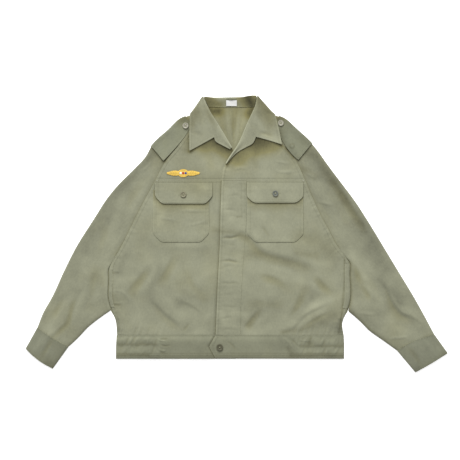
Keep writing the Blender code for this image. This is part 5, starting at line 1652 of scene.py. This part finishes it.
def make_strap(side):
    """A shoulder strap. The right one shows the print of the stud beneath it, raised and ringed with painted
    shade.
    """
    outline = rows_of(OUTER_LINE[side], *STRAP_ROWS[side])
    out = normals(outline, -TURN[side])
    front = smooth(STRAP_FRONT[side])
    sewn = [Sewn(front, ONE_ROW, 0.15), Sewn(straight(outline[-1], front[-1]), TWO_ROWS, 0.15)]
    # Painted shade: the leaf's shadow, darker outer and neck ends, and on the front edge painted light on the
    # left and painted shade on the right
    shades = [Shade(smooth(LEAF_OUTER[side][:3]), 7 * MM, 0.7), Shade(outline, 14 * MM, 0.6, 0),
              Shade(outline[:3], 16 * MM, 0.9, 0.5),
              Shade(front, 12 * MM, {"left": -0.35, "right": 0.3}[side], 0)]
    if side == "right":
        turns = np.linspace(0, 2 * math.pi, 17)
        ring = np.column_stack([np.cos(turns), np.sin(turns)]) * STUD_RADIUS + STUD
        shades.insert(0, Shade(plan(ring), 2.0 * MM, 0.55, 0.3))

    def place(s, t):
        """Flat over the shoulder up to t STRAP_LEVEL, and from there round the sleeve's folded edge."""
        edge = along(outline, s)
        away = read_off(s, np.linspace(0, 1, len(out)), out)
        arc = np.clip((1 - t) / (1 - STRAP_LEVEL), 0, 1) * math.pi / 2
        up = np.stack([np.cos(arc) / SLEEVE_ROUND, np.sin(arc) / SLEEVE_MIDDLE], axis=1)
        up /= np.linalg.norm(up, axis=1)[:, None]
        inwards = SLEEVE_ROUND * (1 - np.cos(arc)) - STRAP_GAP * up[:, 0]
        level = np.clip(t / STRAP_LEVEL, 0, 1)[:, None]
        xy = (edge - away * inwards[:, None]) * level + along(front, s) * (1 - level)
        lying = sleeve_surface(xy, side, worn=False) + STRAP_GAP + (0.6 + 0.8 * s ** 2) * MM
        lying += relief(xy, sewn) - FELL_RISE + 0.3 * MM * unevenness(xy, 0.03, 44.0)
        if side == "right":
            lying += STUD_RISE * bell(np.linalg.norm(xy - plan(STUD), axis=1), 5 * MM, 4)
        curved = neck_lift(edge) + SLEEVE_MIDDLE * (1 + np.sin(arc)) + STRAP_GAP * up[:, 1]
        seat = ramp(level[:, 0], 0.6, 1)
        return raised(xy, lying * (1 - seat) + curved * seat)

    wrap = STRAP_LEVEL + (1 - STRAP_LEVEL) * even(8)[1:]
    ts = np.concatenate([STRAP_LEVEL * graded(0.045, 2.2 * MM, (True, False)), wrap])
    # Its folds' painted light and shade read a deeper unevenness than the strap is raised by
    look = Look(STRAP_CLOTH, sewn, lambda xy: 1.2 * MM * unevenness(xy, 0.03, 44.0), shades,
                STRAP_GRAIN[side])
    strap = sheet("strap_" + side + "_tab", place, graded(0.11, 2.2 * MM, (False, True)), ts, look,
                  outwards=True)
    lay(strap, "strap_" + side, sewn)


# Pockets, flaps and welts


def cornered(points, radius):
    """A line through pixel places, with each inner corner rounded off by so many pixels."""
    points = np.asarray(points, float)
    t = np.linspace(0, 1, 7)[:, None]
    rows = [points[:1]]
    for before, corner, after in zip(points, points[1:], points[2:]):
        start, end = (corner + (next_to - corner) * min(radius / np.linalg.norm(next_to - corner), 0.5)
                      for next_to in (before, after))
        rows.append((1 - t) ** 2 * start + 2 * t * (1 - t) * corner + t * t * end)
    return plan(np.concatenate(rows + [points[-1:]]))


def pocket_shape(cut):
    """The spread of a pocket with its lower corners cut off and rounded, and its sewn edge."""
    low = cut.bottom - cut.corner_y
    lower = cornered([
        (cut.left, low - CORNER_ABOVE), (cut.left, low), (cut.left + cut.corner_x, cut.bottom),
        (cut.right - cut.corner_x, cut.bottom), (cut.right, low), (cut.right, low - CORNER_ABOVE),
    ], CORNER_ROUND)
    top = plan([(cut.left, cut.top), (cut.right, cut.top)])
    return up_from(lower, top), np.concatenate([top[:1], lower, top[1:]])


def make_pocket(side):
    spread, edge = pocket_shape(POCKETS[side])
    sewn = [Sewn(edge, TWO_ROWS, 0.2)]
    flap_edge = pocket_shape(FLAPS[side])[1]
    # Painted shadow of the flap on the pocket: a thin dark line and a broad brown patch
    shades = [Shade(flap_edge, 4 * MM, 0.75), Shade(flap_edge, 16 * MM, 0.4, 0.8)] + shades_in(BODY_PAINTED_SHADING)
    place = on_plan(spread, lambda xy: front_surface(xy, side) + SEWN_GAP + EDGE_ROLL + relief(xy, sewn))
    pocket = sheet("pocket_" + side + "_patch", place, graded(0.135, 2.0 * MM),
                   graded(0.11, 2.0 * MM, (True, False)),
                   Look(TWILL, sewn, lambda xy: front_swell(xy, side), shades), TRIM_WALL, outwards=True)
    lay(pocket, "pocket_" + side, sewn)


def make_flap(side):
    """A flap: on the front at its seam, then over the pocket, with a raised lip."""
    cut = FLAPS[side]
    spread, edge = pocket_shape(cut)
    sewn = [Sewn(edge, TWO_ROWS, 0.15)]

    def height(xy):
        below_seam = pixels(xy)[:, 1] - cut.top
        over_pocket = (TRIM_WALL + EDGE_ROLL + FELL_RISE + SEWN_GAP) * np.clip(below_seam / FLAP_RAMP, 0, 1)
        lip = FLAP_LIP * ease(below_seam / (cut.bottom - cut.top)) ** 2
        return front_surface(xy, side) + SEWN_GAP + over_pocket + lip + relief(xy, sewn) + EDGE_ROLL

    look = Look(TWILL, sewn, lambda xy: front_swell(xy, side), shades_in(BODY_PAINTED_SHADING))
    flap = sheet("flap_" + side + "_cover", on_plan(spread, height), graded(0.135, 2.0 * MM),
                 graded(0.045, 1.6 * MM), look, TRIM_WALL, outwards=True)
    lay(flap, "flap_" + side, sewn, holes=[BUTTONHOLES[side]])


def make_welt(side):
    top, low, width = WELTS[side]
    edge = moved(rows_of(SIDE_LINE[side], low, top), TURN[side] * SIDE_GAP)
    inner = moved(edge, TURN[side] * width)
    spread = between(edge, inner) if side == "left" else between(inner, edge)
    sewn = [Sewn(inner, ONE_ROW, 0.2)]

    def place(u, v):
        xy = spread(u, v)
        lift = WELT_END_LIFT + (WELT_LIFT - WELT_END_LIFT) * ease(np.minimum(v, 1 - v) / 0.1)
        return raised(xy, front_surface(xy, side) + lift + relief(xy, sewn) - FELL_RISE)

    welt = sheet("welt_" + side + "_strip", place, graded(width * PIXEL, 1.2 * MM, (False, False)),
                 graded(0.1, 2.4 * MM), Look(TWILL, sewn), TRIM_WALL, outwards=True)
    lay(welt, "welt_" + side, sewn)


# Waistband


def gathers(xy, side):
    """Uneven ripples of the elastic, held down along the stitch row that crosses them."""
    x, y = pixels(xy).T
    top, low = BAND_ROWS
    row = STITCHED_ROW[side]
    strength = elastic_pull(x, side, *GATHER_FADE) * ease((y - top) / 5) * ease((low - 2 - y) / 5)
    ripples = [noise.noise(Vector((px / 2.9 + 0.12 * (py - row), py / 9.0, lie)))
               for px, py, lie in zip(x, y, np.where(y < row, 0.0, 9.0))]
    return BAND_GATHER * strength * (1 - 0.75 * bell(y - row, 1.5)) * np.array(ripples)


def band_swell(xy, side):
    """Ripples and folds of the waistband."""
    return gathers(xy, side) + folded(xy, BAND_FOLDS) + 0.5 * MM * unevenness(xy, 0.03, 61.0)


def band_surface(xy, side):
    """Top of the waistband, thinner towards its sides."""
    reach = TURN[side] * (xy[:, 0] - plan(BAND_SIDE[side])[1, 0]) / SIDE_ROUND
    height = BAND_EDGE_TOP + (BAND_TOP - BAND_EDGE_TOP) * rounding(reach)
    return height + band_swell(xy, side) * ease(reach)


def make_band_front(side, left, right):
    """Half of the band's front. The left one runs on under the right one's pointed tab."""
    tab = plan(TAB)
    hem = straight(left[0], right[0])
    start, end = ELASTIC[side]
    row = STITCHED_ROW[side]
    elastic_row = straight(*plan([(start + 0.6, row), (end - 2, row)]), 20)
    sewn = [Sewn(hem, HEM_ROWS, 0.25), Sewn(straight(left[-1], right[-1]), ONE_ROW, 0.2, 0.3)]
    # Painted shade along the hem rows, the hem and the elastic's stitched row, and on the left one beside the
    # tab
    shades = [Shade(hem + (0, above), 1.5 * MM, 0.45) for above in HEM_ROWS]
    shades += [Shade(hem, 9 * MM, 0.3, 0), Shade(hem, 3 * MM, 0.7, 0), Shade(elastic_row, 2.4 * MM, 1.2, 0.1)]
    vs = graded(0.057, 1.3 * MM)
    if side == "left":
        shades.insert(0, Shade(tab, 2.6 * MM, 0.9))
        us = np.unique(np.concatenate([graded(0.285, 1.9 * MM, (True, False)), np.linspace(0.72, 0.86, 40)]))
    else:
        sewn.append(Sewn(tab, TWO_ROWS, 0.1))
        us = graded(0.32, 1.9 * MM)
        vs = np.unique(np.concatenate([vs, np.round(run(tab) / run(tab)[-1], 6)]))
    sewn.append(Sewn(elastic_row, ON_LINE, 0.3))

    def height(xy):
        top = band_surface(xy, side) + relief(xy, sewn) - FELL_RISE
        if side == "right":
            return top - FELL_RISE
        x, y = pixels(xy).T
        tab_edge = np.interp(y, *np.array(TAB[::-1]).T[::-1])
        under = ease((x - tab_edge) / BAND_LAP_RAMP + 1)
        return top * (1 - under) + UNDERLAP_BAND_TOP * under

    look = Look(DOUBLED, sewn, lambda xy: band_swell(xy, side), shades + shades_in(BAND_PAINTED_SHADING))
    place = on_plan(between(left, right), height)
    band = sheet("waistband_" + side + "_band", place, us, vs, look, BAND_WALL)
    lay(band, "waistband_" + side, sewn)


def make_waistband():
    sides = smoothed(BAND_SIDE)
    place = on_plan(between(sides["left"], sides["right"]), on_floor)
    back = sheet("waistband_back_band", place, even(60), even(8), Look(DOUBLED), BAND_WALL, True)
    lay(back, "waistband_back")
    make_band_front("left", sides["left"], plan([(BAND_LAP, row) for row in BAND_ROWS[::-1]]))
    make_band_front("right", plan(TAB), sides["right"])


# Small pieces


def band_height(row):
    """Top of the neck band at a pixel row."""
    low = NECK_SEAM[1][1]
    high = NECK_ROLL[2][1] + ROLL / PIXEL
    return BAND_SEAM_TOP + (BAND_ROLL_TOP - BAND_SEAM_TOP) * ramp(row, low, high)


def make_label():
    left, right, low, high = LABEL

    def place(u, v):
        row = low + (high - low) * v
        xy = plan(np.column_stack([left + (right - left) * u, row]))
        return raised(xy, band_height(row) + GAP + 0.25 * MM * np.sin(5 * u + 3 * v))

    label = sheet("blank_label", place, even(16), even(10), Look(LABEL_CLOTH), TRIM_WALL, outwards=True)
    lay(label, "neck_label")


def make_loop():
    left, right, row = LOOP

    def place(u, v):
        y = row - LOOP_WIDTH * v
        bow = LOOP_BOW * np.sin(math.pi * u)
        return raised(plan(np.column_stack([left + (right - left) * u, y])), band_height(y) + GAP + bow)

    # Painted shade darkens the loop
    look = Look(STRAP_CLOTH, shades=[Shade(plan([(left, row), (right, row)]), 6 * MM, 0.6)])
    loop = sheet("hanging_tape", place, even(24), even(4), look, TRIM_WALL, outwards=True)
    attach(loop, "root")
    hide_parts("hanging_loop")
    return loop


def make_beads():
    """Three small padded beads across the patch's boss."""
    beads = []
    for number, (name, finish) in enumerate(BEADS.items()):
        centre = (PATCH_AT[0] + (number - 1) * BEAD_STEP, PATCH_AT[1])

        def place(u, v):
            around = np.column_stack([np.cos(2 * math.pi * u), np.sin(2 * math.pi * u)])
            xy = plan(centre + BEAD_RADIUS * v[:, None] * around)
            top = front_surface(xy, "left") + GAP + PATCH_CROWN + TRIM_WALL
            return raised(xy, top + BEAD_HEIGHT * np.sqrt(1 - 0.96 * v * v))

        bm = grid_on(place, even(24), np.array([0, 0.3, 0.6, 0.8, 0.92, 1]))
        bmesh.ops.remove_doubles(bm, verts=bm.verts, dist=0.005 * MM)
        turn_outwards(bm)
        bead = into_piece(name + "_bead", bm, Look(finish), 0.25 * MM, False)
        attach(bead, "root")
        beads.append(bead)
    return beads


def make_patch():
    """Stitched chest patch: two long leaves with veins, either side of an oval boss."""
    half_length, least = PATCH_HALF

    def half_height(x):
        leaf = PATCH_LEAF * np.sin(math.pi * np.clip(np.abs(x) / half_length, 0, 1)) ** 0.8
        boss = PATCH_BOSS[1] * np.sqrt(np.clip(1 - (x / PATCH_BOSS[0]) ** 2, 0, None))
        return np.maximum(np.maximum(leaf, boss), least * np.clip(half_length - np.abs(x), 0, 1) + 0.15)

    def place(u, v):
        x = (2 * u - 1) * half_length
        xy = plan(np.column_stack([PATCH_AT[0] + x, PATCH_AT[1] + (1 - 2 * v) * half_height(x)]))
        return raised(xy, front_surface(xy, "left") + GAP + PATCH_CROWN * (1 - (2 * v - 1) ** 2))

    veins = []
    for side in (-1, 1):
        veins.append([(side * x, 0) for x in VEIN])
        veins += [[(side * x, 0), (side * (x + SIDE_VEIN[0]), rise)]
                  for x in SIDE_VEINS for rise in (-SIDE_VEIN[1], SIDE_VEIN[1])]
    turn = np.linspace(0, 2 * math.pi, 25)
    veins.append(np.column_stack([BOSS_RING[0] * np.cos(turn), BOSS_RING[1] * np.sin(turn)]))
    look = Look(GOLD, [Sewn(plan(np.array(PATCH_AT) + vein), ON_LINE, 0) for vein in veins])
    stitched = sheet("stitched_patch", place, even(150), even(26), look, TRIM_WALL, outwards=True)
    lay(stitched, "chest_patch", with_pieces=make_beads())


def cylinder(sides, radius, depth, place, turn=(0, 0, 0)):
    bpy.ops.mesh.primitive_cylinder_add(vertices=sides, radius=radius, depth=depth, location=place)
    bpy.context.object.rotation_euler = turn
    return bpy.context.object


def make_button(node, finish):
    """A dished button with four holes and crossed thread."""
    low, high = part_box(node)
    x, y, z = (low + high) / 2
    radius = (high.x - low.x) / 2
    thick = high.z - low.z
    button = cylinder(36, radius, thick, (x, y, z))
    button.name = node + "_disc"
    bpy.ops.object.mode_set(mode="EDIT")
    bpy.ops.mesh.select_mode(type="FACE")
    bpy.ops.mesh.select_all(action="DESELECT")
    bm = bmesh.from_edit_mesh(button.data)
    for face in bm.faces:
        face.select = face.normal.z > 0.9
    bmesh.update_edit_mesh(button.data)
    bpy.ops.mesh.inset(thickness=radius * BUTTON_RIM)
    bpy.ops.mesh.inset(thickness=radius * BUTTON_SLOPE)
    bpy.ops.transform.translate(value=(0, 0, -thick * BUTTON_DISH))
    bpy.ops.object.mode_set(mode="OBJECT")
    bpy.ops.object.transform_apply(location=True, rotation=True, scale=True)
    bevel = button.modifiers.new("edge", "BEVEL")
    bevel.width = radius * BUTTON_EDGE
    bevel.segments = 2
    bevel.angle_limit = math.radians(35)
    select_only(button)
    bpy.ops.object.modifier_apply(modifier="edge")
    bpy.ops.object.shade_smooth_by_angle(angle=math.radians(40))
    button.data.materials.append(finish)
    hole = radius * BUTTON_HOLE
    threads = []
    sunk = high.z - thick * BUTTON_DISH + radius * BUTTON_THREAD_RISE
    for turn in (3, 1):
        thread = cylinder(8, radius * BUTTON_THREAD, hole * BUTTON_THREAD_SPAN, (x, y, sunk),
                          (math.pi / 2, 0, turn * math.pi / 4))
        bpy.ops.object.transform_apply(location=True, rotation=True, scale=True)
        thread.data.materials.append(THREAD)
        threads.append(thread)
    for dx in (-hole, hole):
        for dy in (-hole, hole):
            drill = cylinder(12, radius * BUTTON_DRILL, thick,
                             (x + dx, y + dy, z + thick * BUTTON_DRILL_RISE))
            button.modifiers.new("hole", "BOOLEAN").object = drill
            select_only(button)
            bpy.ops.object.modifier_apply(modifier="hole")
            bpy.data.objects.remove(drill, do_unlink=True)
    select_only(button, *threads)
    bpy.ops.object.join()
    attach(button, "root")
    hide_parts(node)


# Floor, light and camera


def make_stage():
    bpy.ops.mesh.primitive_plane_add(size=FLOOR_SIZE, location=(0, 0, -FLOOR_DEPTH))
    floor = bpy.context.object
    floor.name = "floor"
    material, tree, shader = new_material("pale_floor")
    feed(tree, shader, {"Base Color": (FLOOR_TONE,) * 3 + (1,), "Roughness": 0.7,
                        "Emission Color": (1, 1, 1, 1), "Emission Strength": FLOOR_GLOW})
    floor.data.materials.append(material)


def make_light():
    light = bpy.data.lights.new("window", "AREA")
    light.size = WINDOW_SIZE
    light.energy = WINDOW_POWER
    window = placed("window", light)
    window.location = WINDOW_AT
    window.rotation_euler = (-Vector(WINDOW_AT)).to_track_quat("-Z", "Y").to_euler()
    window.visible_camera = False
    world = bpy.data.worlds.new("studio")
    world.use_nodes = True
    background = world.node_tree.nodes["Background"]
    background.inputs["Color"].default_value = (1, 1, 1, 1)
    background.inputs["Strength"].default_value = STUDIO_LIGHT
    bpy.context.scene.world = world
    bpy.context.scene.view_settings.view_transform = "Standard"


def make_camera():
    camera = bpy.data.cameras.new("overhead")
    camera.lens = LENS
    camera.sensor_width = SENSOR
    holder = placed("overhead", camera)
    holder.location = (*plan(VIEW_CENTRE)[0], FRAME_WIDTH * LENS / SENSOR + FRONT_TOP)
    bpy.context.scene.camera = holder


make_stage()
make_back()
for each_side in ("left", "right"):
    make_lower_front(each_side)
make_fly()
for each_side in ("left", "right"):
    make_yoke(each_side)
for each_side in ("left", "right"):
    for make_piece in (make_sleeve, make_cuff, make_leaf, make_lapel, make_strap, make_pocket, make_flap,
                       make_welt):
        make_piece(each_side)
make_neck_band(make_loop())
make_fall()
make_waistband()
make_patch()
make_label()
for each_node, each_finish in {
        "flap_button_left": SAGE_SHELL, "flap_button_right": SMOKE_SHELL, "strap_button_left": BEIGE_SHELL,
        "strap_button_right": BEIGE_SHELL, "waist_button": OLIVE}.items():
    make_button(each_node, each_finish)
make_light()
make_camera()
